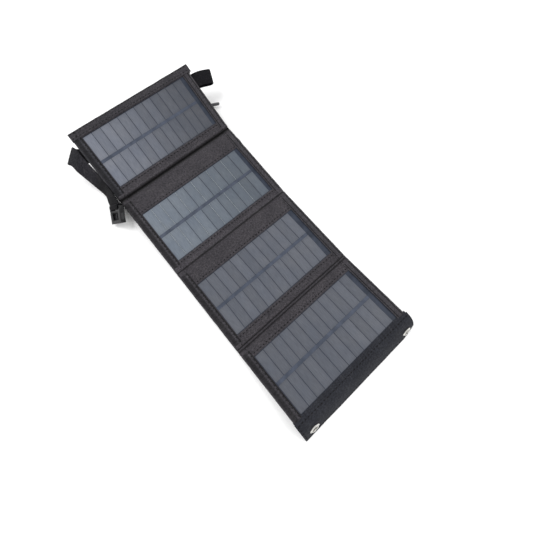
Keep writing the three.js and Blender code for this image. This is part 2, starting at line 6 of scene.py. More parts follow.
import bmesh
import bpy
import numpy as np
from mathutils import Matrix, Vector, noise
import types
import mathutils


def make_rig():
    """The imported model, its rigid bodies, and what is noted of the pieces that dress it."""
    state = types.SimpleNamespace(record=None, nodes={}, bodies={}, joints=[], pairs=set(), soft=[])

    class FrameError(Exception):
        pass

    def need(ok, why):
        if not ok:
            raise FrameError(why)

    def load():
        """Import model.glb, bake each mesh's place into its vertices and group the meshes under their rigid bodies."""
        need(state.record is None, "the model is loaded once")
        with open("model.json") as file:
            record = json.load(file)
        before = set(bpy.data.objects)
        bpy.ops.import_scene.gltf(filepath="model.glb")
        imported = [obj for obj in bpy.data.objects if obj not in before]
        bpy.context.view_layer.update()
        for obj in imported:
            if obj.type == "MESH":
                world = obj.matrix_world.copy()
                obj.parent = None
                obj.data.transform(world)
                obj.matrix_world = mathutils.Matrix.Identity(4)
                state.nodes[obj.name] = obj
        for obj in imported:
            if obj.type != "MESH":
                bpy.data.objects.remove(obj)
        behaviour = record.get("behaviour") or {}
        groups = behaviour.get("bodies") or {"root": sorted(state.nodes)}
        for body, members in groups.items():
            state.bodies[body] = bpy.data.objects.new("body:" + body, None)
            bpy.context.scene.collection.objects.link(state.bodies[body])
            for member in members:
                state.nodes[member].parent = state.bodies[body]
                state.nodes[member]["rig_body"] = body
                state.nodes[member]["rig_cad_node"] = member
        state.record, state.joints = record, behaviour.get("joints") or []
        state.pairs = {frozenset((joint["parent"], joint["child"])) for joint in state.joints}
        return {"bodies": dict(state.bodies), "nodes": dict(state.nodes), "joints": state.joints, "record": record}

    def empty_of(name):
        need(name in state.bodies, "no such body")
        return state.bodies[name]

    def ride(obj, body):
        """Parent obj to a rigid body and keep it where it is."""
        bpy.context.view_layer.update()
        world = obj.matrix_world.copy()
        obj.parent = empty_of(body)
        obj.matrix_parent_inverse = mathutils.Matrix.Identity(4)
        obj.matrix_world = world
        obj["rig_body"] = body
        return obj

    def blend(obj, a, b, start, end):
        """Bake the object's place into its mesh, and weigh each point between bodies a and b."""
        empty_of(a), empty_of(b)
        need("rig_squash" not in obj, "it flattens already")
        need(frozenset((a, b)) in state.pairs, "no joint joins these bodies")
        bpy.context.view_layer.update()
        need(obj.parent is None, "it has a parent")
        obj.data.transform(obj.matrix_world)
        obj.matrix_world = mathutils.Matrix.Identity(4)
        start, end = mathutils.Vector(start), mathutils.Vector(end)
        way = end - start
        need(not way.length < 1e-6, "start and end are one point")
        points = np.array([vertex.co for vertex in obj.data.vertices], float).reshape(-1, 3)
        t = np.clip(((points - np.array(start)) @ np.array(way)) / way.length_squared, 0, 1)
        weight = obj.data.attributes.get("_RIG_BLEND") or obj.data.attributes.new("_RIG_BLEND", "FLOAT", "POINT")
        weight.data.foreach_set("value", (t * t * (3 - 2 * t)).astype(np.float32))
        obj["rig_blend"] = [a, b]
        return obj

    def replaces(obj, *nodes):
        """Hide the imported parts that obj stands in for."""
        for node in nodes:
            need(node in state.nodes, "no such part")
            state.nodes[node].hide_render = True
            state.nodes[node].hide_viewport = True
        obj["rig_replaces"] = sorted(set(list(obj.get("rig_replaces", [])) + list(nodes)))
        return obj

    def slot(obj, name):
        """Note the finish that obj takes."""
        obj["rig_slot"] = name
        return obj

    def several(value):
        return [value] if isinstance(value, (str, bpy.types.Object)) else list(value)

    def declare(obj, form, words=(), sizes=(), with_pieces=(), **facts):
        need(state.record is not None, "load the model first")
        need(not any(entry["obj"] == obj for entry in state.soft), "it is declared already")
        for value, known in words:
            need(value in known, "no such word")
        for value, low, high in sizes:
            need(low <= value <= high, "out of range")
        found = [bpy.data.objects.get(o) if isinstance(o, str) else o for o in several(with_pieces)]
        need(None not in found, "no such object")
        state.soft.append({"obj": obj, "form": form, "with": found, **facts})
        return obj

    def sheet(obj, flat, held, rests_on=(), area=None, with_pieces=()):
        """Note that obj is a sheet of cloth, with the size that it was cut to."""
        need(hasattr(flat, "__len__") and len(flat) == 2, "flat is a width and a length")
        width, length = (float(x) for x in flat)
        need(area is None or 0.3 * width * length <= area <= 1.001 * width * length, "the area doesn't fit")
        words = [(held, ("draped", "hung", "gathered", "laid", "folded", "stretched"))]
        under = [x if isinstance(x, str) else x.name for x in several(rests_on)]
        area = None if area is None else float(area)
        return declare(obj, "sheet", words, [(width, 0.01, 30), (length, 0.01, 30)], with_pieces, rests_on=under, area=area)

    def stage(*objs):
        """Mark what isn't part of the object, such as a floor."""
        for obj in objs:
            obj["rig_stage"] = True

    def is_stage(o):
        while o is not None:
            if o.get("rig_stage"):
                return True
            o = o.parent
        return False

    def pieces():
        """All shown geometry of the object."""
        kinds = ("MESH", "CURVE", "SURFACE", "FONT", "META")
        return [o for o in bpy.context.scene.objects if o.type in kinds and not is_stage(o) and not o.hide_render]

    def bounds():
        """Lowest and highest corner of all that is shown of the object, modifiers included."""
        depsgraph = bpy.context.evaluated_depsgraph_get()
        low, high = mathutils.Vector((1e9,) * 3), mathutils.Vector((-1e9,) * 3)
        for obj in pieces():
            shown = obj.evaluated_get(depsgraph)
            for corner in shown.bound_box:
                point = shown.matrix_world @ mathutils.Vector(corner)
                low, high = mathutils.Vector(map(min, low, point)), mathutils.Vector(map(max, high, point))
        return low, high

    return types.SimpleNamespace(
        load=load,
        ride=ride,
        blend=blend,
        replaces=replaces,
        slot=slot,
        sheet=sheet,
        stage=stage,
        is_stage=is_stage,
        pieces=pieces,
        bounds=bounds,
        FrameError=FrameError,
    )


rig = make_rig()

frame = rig.load()
cad_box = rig.bounds()

# ---- The panels' own frames: origin in metres and pitch in degrees
OX, OY = -0.00071, 0.009798
ORIGIN = Vector((OX, OY, 0))
FRAMES = {
    1: ((OX, 0.141233, 0.016693), 19.6),
    2: ((OX, OY, 0.0045), 5.3),
    3: ((OX, OY, 0.0045), 0.0),
    4: ((OX, -0.121402, 0.0045), -7.0),
}
SPAN = {1: (0, 116.9), 2: (0, 132.0), 3: (-131.2, 0), 4: (-105.1, 0)}
WINDOW = {1: (17.5, 102.8), 2: (13.1, 98.3), 3: (-114.6, -29.3), 4: (-102.6, -17.4)}
WINDOW_X = (-87.0, 88.0)
CELL_START, CELL_GAP = -86.5, 0.8
CELL_END = {1: 82.2, 2: 82.4, 3: 80.4, 4: 80.9}
STITCH = 5.3
WEB = 7.0  # the bare cloth on each side of a fold
CLOTH_X = 99.2  # half the width of the cloths


def matrix_of(k):
    origin, pitch = FRAMES[k]
    return Matrix.Translation(origin) @ Matrix.Rotation(math.radians(pitch), 4, "X")


M = {k: matrix_of(k) for k in FRAMES}


def at(k, x, y, z):
    """A point of panel k's frame, in millimetres, as a point of the row frame in metres."""
    return M[k] @ Vector((x / 1000, y / 1000, z / 1000))


def direction(k, x, y, z):
    """A direction of panel k's frame in the row frame."""
    return M[k].to_3x3() @ Vector((x, y, z))


def rough(x, y, scale, seed=0.0):
    """Smooth noise from -1 to 1."""
    return noise.noise(Vector((x / scale, y / scale, seed)))


def step(a, b, t):
    t = min(1.0, max(0.0, (t - a) / (b - a)))
    return t * t * (3 - 2 * t)


# ---- Camera, light and floor
def camera():
    data = bpy.data.cameras.new("camera")
    data.lens = 22.545
    data.sensor_width = 36
    data.shift_x = 0.0453
    data.shift_y = -0.0802
    data.clip_start = 0.01
    cam = bpy.data.objects.new("camera", data)
    bpy.context.collection.objects.link(cam)
    right, up, fwd = (0.7646, -0.6431, 0.0433), (0.598, 0.733, 0.325), (0.2409, 0.2228, -0.9446)
    turn = Matrix((right, up, [-v for v in fwd])).transposed().to_4x4()
    cam.matrix_world = Matrix.Translation((-0.10071, -0.0994, 0.4642)) @ turn
    bpy.context.scene.camera = cam


def area_light(name, place, target, size, power):
    data = bpy.data.lights.new(name, "AREA")
    data.shape = "DISK"
    data.size = size
    data.energy = power
    lamp = bpy.data.objects.new(name, data)
    bpy.context.collection.objects.link(lamp)
    lamp.location = place
    lamp.rotation_mode = "QUATERNION"
    lamp.rotation_quaternion = (Vector(target) - Vector(place)).to_track_quat("-Z", "Y")


def studio():
    world = bpy.data.worlds.new("studio")
    bpy.context.scene.world = world
    world.use_nodes = True
    back = world.node_tree.nodes["Background"]
    back.inputs["Color"].default_value = (1, 1, 1, 1)
    back.inputs["Strength"].default_value = 0.92
    bpy.context.scene.view_settings.view_transform = "Standard"
    area_light("key", (-0.5, 0.9, 1.5), (0, 0, 0), 0.9, 16)
    area_light("fill", (0.9, -0.6, 1.3), (0, 0, 0), 1.2, 7)
    mesh = bpy.data.meshes.new("floor")
    half = 6
    corners = [(-half, -half, 0), (half, -half, 0), (half, half, 0), (-half, half, 0)]
    mesh.from_pydata(corners, [], [(0, 1, 2, 3)])
    floor = bpy.data.objects.new("floor", mesh)
    bpy.context.collection.objects.link(floor)
    floor.location.z = -0.0004
    paper = Look("floor_paper")
    paper.set({"Base Color": (0.93, 0.93, 0.93, 1), "Roughness": 0.9})
    mesh.materials.append(paper.material)
    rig.stage(floor)


# ---- Materials
class Look:
    """A material being made: its node tree and its shader, with short ways to add the nodes that feed it."""

    def __init__(self, name):
        self.material = bpy.data.materials.new(name)
        self.material.use_nodes = True
        self.nodes = self.material.node_tree.nodes
        self.link = self.material.node_tree.links.new
        self.shader = self.nodes["Principled BSDF"]

    def add(self, kind, **values):
        made = self.nodes.new("ShaderNode" + kind)
        for name, value in values.items():
            made.inputs[name].default_value = value
        return made

    def set(self, values):
        """Puts constants on the shader's own sockets."""
        for name, value in values.items():
            self.shader.inputs[name].default_value = value

    def feed(self, name, source):
        self.link(source, self.shader.inputs[name])

    def coordinates(self, kind="UV"):
        return self.add("TexCoord").outputs[kind]

    def ramp(self, source, *stops):
        made = self.add("ValToRGB")
        elements = made.color_ramp.elements
        while len(elements) < len(stops):
            elements.new(0.5)
        for element, (place, color) in zip(elements, stops):
            element.position = place
            element.color = (*color, 1)
        self.link(source, made.inputs["Fac"])
        return made.outputs["Color"]

    def noise(self, vector, scale, detail=3):
        made = self.add("TexNoise", Scale=scale, Detail=detail)
        self.link(vector, made.inputs["Vector"])
        return made.outputs["Fac"]

    def wave(self, vector, scale, direction, distortion):
        made = self.add("TexWave", Scale=scale, Distortion=distortion, Detail=1)
        made.bands_direction = direction
        self.link(vector, made.inputs["Vector"])
        return made.outputs["Fac"]

    def mix(self, kind, factor, first, second):
        made = self.add("Mix")
        made.data_type = "RGBA"
        made.blend_type = kind
        made.inputs["Factor"].default_value = factor
        for socket, source in ((made.inputs[6], first), (made.inputs[7], second)):
            self.link(source, socket)
        return made.outputs[2]

    def arithmetic(self, operation, first, second):
        made = self.add("Math")
        made.operation = operation
        for socket, value in zip(made.inputs, (first, second)):
            if isinstance(value, float):
                socket.default_value = value
            else:
                self.link(value, socket)
        return made.outputs[0]

    def bump(self, height, distance, strength=1.0):
        made = self.add("Bump", Distance=distance, Strength=strength)
        self.link(height, made.inputs["Height"])
        self.feed("Normal", made.outputs["Normal"])


def grey(value):
    return (value,) * 3


def scaled(color, factor, extra=0.0):
    return tuple(c * factor + extra for c in color)


BAND = 0.314  # scale of a wave texture whose bands are one unit apart
# Span in millimetres of the ramps of painted shade and painted highlight on the cloth
PAINTED_SHADING_REACH = 20.0  # millimetres that the crease ramp spans


def woven(
    name, color, pitch=0.9, rib=0.0, sheen=0.06, roughness=0.85, kind="UV", grain=0.24, specular=0.15,
    painted_shading=None, axis="Y", centre=0.0,
):
    """Woven cloth. UVs are millimetres on the cloth, or metres of the row frame with kind Object.

    The optional pairs (millimetres from centre along the UV axis, factor) are painted shading: painted shade in creases
    and seams where the factor is under 1, painted highlight where it is over 1.
    """
    look = Look(name)
    place = look.coordinates(kind)
    unit = 1.0 if kind == "UV" else 1000.0
    across = look.wave(place, unit * BAND / pitch, "X", 0.6)
    along = look.wave(place, unit * BAND / pitch, "Y", 0.6)
    weave = look.arithmetic("MULTIPLY", across, along)
    fine = look.noise(place, unit * 0.75, 4)
    broad = look.noise(place, unit * 0.035, 3)
    worn = look.noise(place, unit * 0.12, 2)
    base = look.ramp(fine, (0.32, scaled(color, 1 - 1.6 * grain)), (0.68, scaled(color, 1 + 1.9 * grain)))
    slub = look.noise(place, unit * 0.38, 2)
    base = look.mix("MULTIPLY", 1.0, base, look.ramp(slub, (0.34, grey(0.74)), (0.66, grey(1.26))))
    shade = look.ramp(broad, (0.3, (0.82, 0.82, 0.83)), (0.7, (1.12, 1.11, 1.1)))
    base = look.mix("MULTIPLY", 1.0, base, shade)
    base = look.mix("MULTIPLY", 0.8, base, look.ramp(weave, (0.0, grey(0.78)), (0.8, grey(1.08))))
    dust = look.ramp(worn, (0.55, grey(0)), (0.8, (0.012, 0.0115, 0.011)))
    base = look.mix("ADD", 1.0, base, dust)
    # Painted shade and painted highlight: a ramp along one UV axis multiplies the cloth's colour
    if painted_shading:
        split = look.add("SeparateXYZ")
        look.link(place, split.inputs[0])
        run = look.arithmetic("MULTIPLY", split.outputs[axis], 1 / PAINTED_SHADING_REACH)
        spot = look.arithmetic("ADD", run, 0.5 - centre / PAINTED_SHADING_REACH)
        base = look.mix("MULTIPLY", 1.0, base, look.ramp(spot, *((0.5 + s / PAINTED_SHADING_REACH, grey(c)) for s, c in painted_shading)))
    look.feed("Base Color", base)
    height = weave
    if rib:
        ribs = look.wave(place, unit * BAND / rib, "X", 0.2)
        height = look.arithmetic("MULTIPLY", look.arithmetic("ADD", weave, 0.4), ribs)
    height = look.arithmetic("ADD", height, fine)
    look.bump(height, 0.00022, 0.7)
    look.set({"Specular IOR Level": specular, "Roughness": roughness, "Sheen Weight": sheen, "Sheen Roughness": 0.5})
    return look.material


def cell_film(name, low, high):
    """Cell strips under a satin film: fine lines along each strip, and from the shade attribute each strip's own tone
    times a painted reflection.
    """
    look = Look(name)
    place = look.coordinates()
    fine_lines = look.wave(place, BAND / 1.15, "X", 1.2)
    streak = look.add("Mapping", Scale=(1.0, 0.12, 1.0))
    look.link(place, streak.inputs["Vector"])
    streaks = look.noise(streak.outputs["Vector"], 0.9, 3)
    cloud = look.noise(place, 0.03, 2)
    base = look.ramp(streaks, (0.3, low), (0.72, high))
    # The shade attribute carries each strip's own tone and the painted reflection
    shade = look.add("Attribute")
    shade.attribute_name = "shade"
    base = look.mix("MULTIPLY", 1.0, base, shade.outputs["Color"])
    ruled = look.ramp(fine_lines, (0.1, (0.7, 0.72, 0.75)), (0.6, grey(1.1)))
    base = look.mix("MULTIPLY", 0.35, base, ruled)
    tone = look.ramp(cloud, (0.3, (0.9, 0.92, 0.96)), (0.7, (1.07, 1.05, 1.03)))
    base = look.mix("MULTIPLY", 1.0, base, tone)
    look.feed("Base Color", base)
    look.bump(look.arithmetic("ADD", fine_lines, streaks), 0.00006, 0.5)
    look.set({"Roughness": 0.45, "Specular IOR Level": 0.2, "Coat Weight": 0.08, "Coat Roughness": 0.3})
    return look.material


def plastic(name, color, roughness=0.42, grain=0.00006, specular=0.5):
    look = Look(name)
    place = look.coordinates("Object")
    fine = look.noise(place, 2600, 3)
    broad = look.noise(place, 90, 3)
    tone = look.ramp(broad, (0.3, scaled(color, 0.8)), (0.75, scaled(color, 1.35, 0.004)))
    look.feed("Base Color", tone)
    gloss = look.ramp(broad, (0.3, grey(roughness - 0.07)), (0.7, grey(roughness + 0.1)))
    look.feed("Roughness", gloss)
    look.bump(fine, grain, 0.6)
    look.set({"Specular IOR Level": specular})
    return look.material


def metal(name, color, roughness):
    look = Look(name)
    place = look.coordinates("Object")
    fine = look.noise(place, 900, 4)
    broad = look.noise(place, 160, 2)
    look.feed("Base Color", look.ramp(broad, (0.3, scaled(color, 0.78)), (0.7, color)))
    gloss = look.ramp(fine, (0.3, grey(roughness * 0.7)), (0.7, grey(roughness * 1.7)))
    look.feed("Roughness", gloss)
    look.set({"Metallic": 1})
    look.bump(fine, 0.00003, 0.5)
    return look.material


def circuit():
    look = Look("circuit_lacquer")
    place = look.coordinates("Object")
    greens = {"Color1": (0.01, 0.075, 0.035, 1), "Color2": (0.012, 0.09, 0.04, 1), "Mortar": (0.05, 0.2, 0.09, 1)}
    tracks = look.add("TexBrick", Scale=420, **greens)
    look.link(place, tracks.inputs["Vector"])
    look.feed("Base Color", tracks.outputs["Color"])
    look.set({"Roughness": 0.35})
    look.bump(look.noise(place, 700), 0.00005)
    return look.material


WARM = (0.041, 0.038, 0.0435)
# Painted shading across each kind of fold, as (millimetres across the fold, factor): painted shade in the crease,
# painted highlight where the factor is over 1
PAINTED_CREASE_SHADING = {
    "groove": [(-6, 1.0), (-3.4, 0.7), (-1.6, 0.12), (1.2, 0.08), (2.6, 0.55), (5.0, 1.15)],
    "ridge": [(-5, 1.0), (-2.2, 0.85), (-1.0, 0.15), (-0.2, 0.3), (0.9, 1.35), (3.0, 1.15)],
    "double": [(-4, 1.0), (-1.8, 0.2), (-0.7, 0.95), (0.7, 0.95), (1.8, 0.2), (4, 1.0)],
}
# Painted shade in the stitched seams along a side tape, with slightly lighter painted bands between them, round its
# middle
PAINTED_SEAM_SHADING = [
    (-6.6, 0.35), (-5.6, 0.4), (-5.0, 1.1), (-3.9, 1.1), (-3.4, 0.3), (-2.5, 0.3), (-2.0, 1.1),
    (2.8, 1.1), (3.2, 0.3), (4.1, 0.3), (4.6, 1.1), (5.6, 1.0), (6.6, 0.45),
]
TAPE_WEAVE = {"pitch": 0.8, "grain": 0.28, "painted_shading": PAINTED_SEAM_SHADING, "axis": "X", "centre": 94}
WEBBING = {"pitch": 1.1, "rib": 2.2, "sheen": 0.01, "roughness": 0.6, "grain": 0.18}
BLACK = (0.0095, 0.0093, 0.011)
MATS = {
    "front_fabric": woven("front_fabric_look", WARM),
    # Copies of the front fabric with painted shade in the crease of each kind of fold, and a painted highlight beside
    # the ridge
    "fold_groove": woven("fold_groove_look", WARM, painted_shading=PAINTED_CREASE_SHADING["groove"]),
    "fold_ridge": woven("fold_ridge_look", WARM, painted_shading=PAINTED_CREASE_SHADING["ridge"]),
    "fold_double": woven("fold_double_look", WARM, painted_shading=PAINTED_CREASE_SHADING["double"]),
    "back_fabric": woven("back_fabric_look", (0.030, 0.029, 0.032)),
    "binding": woven("binding_look", (0.035, 0.033, 0.038), pitch=0.8, grain=0.28),
    # Side tapes with painted shade in their seams; the darker copy, on the first panel's left, is painted shade
    "side_tape": woven("side_tape_look", (0.037, 0.035, 0.040), **TAPE_WEAVE),
    "side_tape_shade": woven("side_tape_painted_shade_look", (0.029, 0.029, 0.034), **TAPE_WEAVE),
    # Light grey tabs, only on panel 2: painted glint
    "tab": plastic("tab_look", (0.24, 0.27, 0.29), 0.4, 0.00003, specular=0.3),
    "flap_fabric": woven("flap_fabric_look", (0.0215, 0.0228, 0.029), grain=0.14, sheen=0.03, specular=0.14),
    "webbing": woven("webbing_look", BLACK, specular=0.04, **WEBBING),
    # A lighter copy of the webbing for the strap's fold: painted highlight
    "webbing_fold": woven("webbing_fold_look", (0.023, 0.023, 0.026), specular=0.05, **WEBBING),
    # The strap's webbing, lighter along its upper part and darker towards the buckle: painted highlight and painted
    # shade
    "webbing_strap": woven(
        "strap_webbing_painted_light_look", BLACK, specular=0.04, painted_shading=[(-10, 2.4), (10, 0.75)], centre=36, **WEBBING
    ),
    "thread": woven("thread_look", (0.012, 0.012, 0.013), pitch=0.5, sheen=0.0, grain=0.3, specular=0.1),
    "zip_tape": woven("zip_tape_look", (0.018, 0.018, 0.02), pitch=0.7, kind="Object"),
    "cells": cell_film("cells_look", (0.089, 0.096, 0.115), (0.114, 0.123, 0.146)),
    "laminate": plastic("laminate_look", (0.021, 0.027, 0.042), 0.36, 0.00003, specular=0.2),
    "ribbon": plastic("ribbon_look", (0.044, 0.053, 0.076), 0.4, 0.00003, specular=0.2),
    "board": plastic("board_look", (0.03, 0.03, 0.033), 0.7),
    "case_plastic": plastic("case_look", (0.012, 0.012, 0.014), 0.5, 0.00012),
    "buckle_plastic": plastic("buckle_look", (0.006, 0.006, 0.007), 0.34, specular=0.22),
    "pull_grip": plastic("pull_look", (0.05, 0.05, 0.055), 0.35),
    "port_metal": metal("port_look", (0.6, 0.6, 0.6), 0.3),
    "eyelet_metal": metal("eyelet_look", (0.66, 0.65, 0.62), 0.16),
    "slider_metal": metal("slider_look", (0.33, 0.33, 0.35), 0.28),
    "circuit": circuit(),
}

# The record's slot for each look that has a name of its own
RECORD_SLOT = {
    "thread": "binding",
    "ribbon": "cells",
    "webbing_fold": "webbing",
    "webbing_strap": "webbing",
    "side_tape": "binding",
    "side_tape_shade": "binding",
    "tab": "cells",
    "fold_groove": "front_fabric",
    "fold_ridge": "front_fabric",
    "fold_double": "front_fabric",
}


# ---- Mesh helpers
def smooth(mesh, degrees):
    """Smooth shading, but for edges sharper than that."""
    mesh.polygons.foreach_set("use_smooth", [True] * len(mesh.polygons))
    mesh.set_sharp_from_angle(angle=math.radians(degrees))


def make(name, verts, faces, uvs, slot, body=None):
    """A mesh object in the row frame. uvs holds one pair per vertex, in millimetres."""
    mesh = bpy.data.meshes.new(name)
    mesh.from_pydata([tuple(v) for v in verts], [], faces)
    mesh.update()
    layer = mesh.uv_layers.new(name="UVMap")
    loop_vertex = np.zeros(len(mesh.loops), int)
    mesh.loops.foreach_get("vertex_index", loop_vertex)
    layer.data.foreach_set("uv", np.array(uvs, np.float32)[loop_vertex].ravel())
    mesh.materials.append(MATS[slot])
    obj = bpy.data.objects.new(name, mesh)
    bpy.context.collection.objects.link(obj)
    smooth(mesh, 38)
    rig.slot(obj, RECORD_SLOT.get(slot, slot))
    if body:
        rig.ride(obj, body)
    return obj


def shell(name, us, vs, top, low, slot, body=None, keep=None, uv=None):
    """A closed sheet over the grid us by vs, between the surfaces top(u, v) and low(u, v)."""
    nu, nv = len(us), len(vs)
    verts = [top(u, v) for v in vs for u in us] + [low(u, v) for v in vs for u in us]
    flat = [(uv(u, v) if uv else (u, v)) for v in vs for u in us]
    n = nu * nv
    kept = {
        (i, j)
        for j in range(nv - 1)
        for i in range(nu - 1)
        if keep is None or keep((us[i] + us[i + 1]) / 2, (vs[j] + vs[j + 1]) / 2)
    }
    faces = []
    for i, j in sorted(kept):
        a, b, c, d = j * nu + i, j * nu + i + 1, (j + 1) * nu + i + 1, (j + 1) * nu + i
        faces.append((a, b, c, d))
        faces.append((d + n, c + n, b + n, a + n))
        for p, q, beside in ((a, b, (i, j - 1)), (b, c, (i + 1, j)), (c, d, (i, j + 1)), (d, a, (i - 1, j))):
            if beside not in kept:
                faces.append((q, p, p + n, q + n))
    used = sorted({v for f in faces for v in f})
    index = {v: k for k, v in enumerate(used)}
    both = flat + flat
    return make(
        name,
        [verts[v] for v in used],
        [tuple(index[v] for v in f) for f in faces],
        [both[v] for v in used],
        slot,
        body,
    )


def tube(rings, sides, start=0):
    """The faces of a tube, capped at both ends, whose vertices run ring by ring from start."""
    faces = []
    for o in range(start, start + (rings - 1) * sides, sides):
        for j in range(sides):
            k = (j + 1) % sides
            faces.append((o + j, o + k, o + sides + k, o + sides + j))
    faces.append(tuple(start + j for j in range(sides - 1, -1, -1)))
    faces.append(tuple(start + (rings - 1) * sides + j for j in range(sides)))
    return faces


def sweep(name, rings, slot, body, uvs):
    """A tube through rings of points."""
    verts = [p for ring in rings for p in ring]
    return make(name, verts, tube(len(rings), len(rings[0])), uvs, slot, body)


def lines(a, b, spacing, extra=()):
    """Grid lines from a to b with about that spacing, and extra ones."""
    n = max(1, round(abs(b - a) / spacing))
    made = [a + (b - a) * i / n for i in range(n + 1)]
    apart = [v for v in made if all(abs(v - e) > spacing * 0.2 for e in extra)]
    return sorted(apart + [e for e in extra if a <= e <= b])


class Threads:
    """Rows of stitches, gathered into one mesh: each is a short rounded thread lying on the cloth."""

    def __init__(self):
        self.verts, self.faces, self.uvs = [], [], []

    def stitch(self, a, b, up, radius=0.00047):
        axis = (b - a).normalized()
        side = axis.cross(up).normalized()
        up = side.cross(axis)
        start = len(self.verts)
        stations = ((0.0, 0.25, -0.6), (0.16, 0.85, 0.1), (0.5, 1.0, 0.45), (0.84, 0.85, 0.1), (1.0, 0.25, -0.6))
        for t, r, lift in stations:
            c = a.lerp(b, t) + up * radius * lift
            for j in range(6):
                g = math.pi * j / 3
                self.verts.append(c + side * math.cos(g) * radius * r * 1.15 + up * math.sin(g) * radius * r)
                self.uvs.append((t * 3, j))
        self.faces += tube(len(stations), 6, start)

    def row(self, path, length, pitch=STITCH, share=0.62):
        """Stitches along path(s), which gives a point and the cloth's normal at s millimetres."""
        n = max(1, round(length / pitch))
        for i in range(n):
            s0 = length * (i + (1 - share) / 2) / n
            a, up = path(s0)
            b, _ = path(s0 + length * share / n)
            self.stitch(a, b, up)

    def make(self, name, body):
        return make(name, self.verts, self.faces, self.uvs, "thread", body)


def bevelled(name, node, slot, body, width, segments=2):
    """A CAD node's shape with its edges rounded, in place of the node."""
    source = frame["nodes"][node]
    mesh = source.data.copy()
    mesh.transform(source.matrix_world)
    obj = bpy.data.objects.new(name, mesh)
    bpy.context.collection.objects.link(obj)
    b = bmesh.new()
    b.from_mesh(mesh)
    bmesh.ops.remove_doubles(b, verts=b.verts, dist=2e-6)
    bmesh.ops.dissolve_limit(b, angle_limit=math.radians(1.5), verts=b.verts, edges=b.edges)
    b.to_mesh(mesh)
    b.free()
    mesh.materials.clear()
    mesh.materials.append(MATS[slot])
    mod = obj.modifiers.new("bevel", "BEVEL")
    mod.width = width
    mod.segments = segments
    mod.limit_method = "ANGLE"
    mod.angle_limit = math.radians(35)
    settle(obj)
    smooth(obj.data, 30)
    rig.slot(obj, slot)
    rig.ride(obj, body)
    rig.replaces(obj, node)
    return obj


def settle(obj):
    """Applies an object's modifiers to its mesh."""
    bpy.context.view_layer.update()
    done = bpy.data.meshes.new_from_object(obj.evaluated_get(bpy.context.evaluated_depsgraph_get()))
    obj.modifiers.clear()
    obj.data = done


# ---- Panels
def cloth_height(k, x, y):
    """Height of panel k's front cloth over its own plane, in millimetres."""
    w0, w1 = WINDOW[k]
    out = max(w0 - y, y - w1, WINDOW_X[0] - x, x - WINDOW_X[1], 0)
    z = 0.12 + 0.5 * step(0.0, 0.8, out) * (1 - step(3.2, 6.5, out))
    z -= 0.32 * math.exp(-(((out - 3.4) / 0.9) ** 2)) * (0.75 + 0.25 * math.cos(2 * math.pi * x / STITCH))
    wide = step(6, 16, out)
    waves = 0.42 * rough(x, y * 2.4, 26, k + 7) + 0.2 * rough(x * 1.5, y, 9, k + 3)
    z += 0.16 * rough(x, y * 2.2, 11, k) + wide * waves
    if k == 3:
        z += 0.85 * math.exp(-(((y + 9.5) / 2.6) ** 2))
        z -= 0.35 * math.exp(-(((y + 13.5) / 1.4) ** 2))
    if k == 2:
        z += 0.3 * math.exp(-(((y - 8.5) / 2.2) ** 2))
    return z


def front_cloth(k):
    w0, w1 = WINDOW[k]
    y0 = w1 if k == 4 else SPAN[k][0] + WEB
    y1 = SPAN[k][1] - (WEB if k != 1 else 1.4)
    xs = lines(-CLOTH_X, CLOTH_X, 2.6, (*WINDOW_X, WINDOW_X[0] - 0.8, WINDOW_X[1] + 0.8))
    ys = lines(y0, y1, 2.2, (w0, w1, w0 - 0.8, w1 + 0.8, w0 - 3.4, w1 + 3.4))
    keep = None if k == 4 else (lambda x, y: not (WINDOW_X[0] < x < WINDOW_X[1] and w0 < y < w1))
    top = lambda x, y: at(k, x, y, cloth_height(k, x, y))
    low = lambda x, y: at(k, x, y, cloth_height(k, x, y) - 0.55)
    obj = shell(f"front_cloth_{k}", xs, ys, top, low, "front_fabric", f"panel_{k}", keep)
    width, length = 198.4, y1 - y0
    area = width * length
    if k != 4:
        area -= (WINDOW_X[1] - WINDOW_X[0]) * (w1 - w0)
    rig.sheet(obj, flat=(width / 1000, length / 1000), area=area / 1e6, held="stretched", rests_on=[f"laminate_{k}"])
    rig.replaces(obj, f"front_cover_{k}")


def back_cloth(k):
    y0 = SPAN[k][0] + (WEB if k != 4 else 1.0)
    y1 = SPAN[k][1] - (WEB if k != 1 else 1.4)
    xs, ys = lines(-CLOTH_X, CLOTH_X, 3.2), lines(y0, y1, 3.0)

    def height(x, y):
        edge = min(CLOTH_X - abs(x), y - y0, y1 - y)
        puff = 0.18 * step(0, 9, edge)
        return -3.62 - puff - 0.14 * rough(x, y, 17, k + 20) * step(0, 6, edge)

    top = lambda x, y: at(k, x, y, height(x, y) + 0.5)
    low = lambda x, y: at(k, x, y, height(x, y))
    obj = shell(f"back_cloth_{k}", xs, ys, top, low, "back_fabric", f"panel_{k}")
    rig.sheet(obj, flat=(0.1984, (y1 - y0) / 1000), held="stretched", rests_on=[f"stiffener_{k}"])
    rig.replaces(obj, f"back_cover_{k}")


# Painted reflection on the cells: a slight cyan tint on panel 2, and each panel's lightness at its left and its right
# end
PAINTED_REFLECTION_TINT = {2: (0.98, 1.06, 1.06)}
PAINTED_REFLECTION = {1: (1.3, 0.58), 2: (1.25, 0.8), 3: (0.82, 0.87), 4: (0.76, 0.82)}


def painted_reflection(k, x):
    """Painted reflection: the strips are made lighter or darker slowly across a panel, from its left to its right end.
    """
    left, right = PAINTED_REFLECTION[k]
    return left + (right - left) * step(-90, 90, x)


def cell_pitch(k):
    return (CELL_END[k] - CELL_START + 0.45) / 12


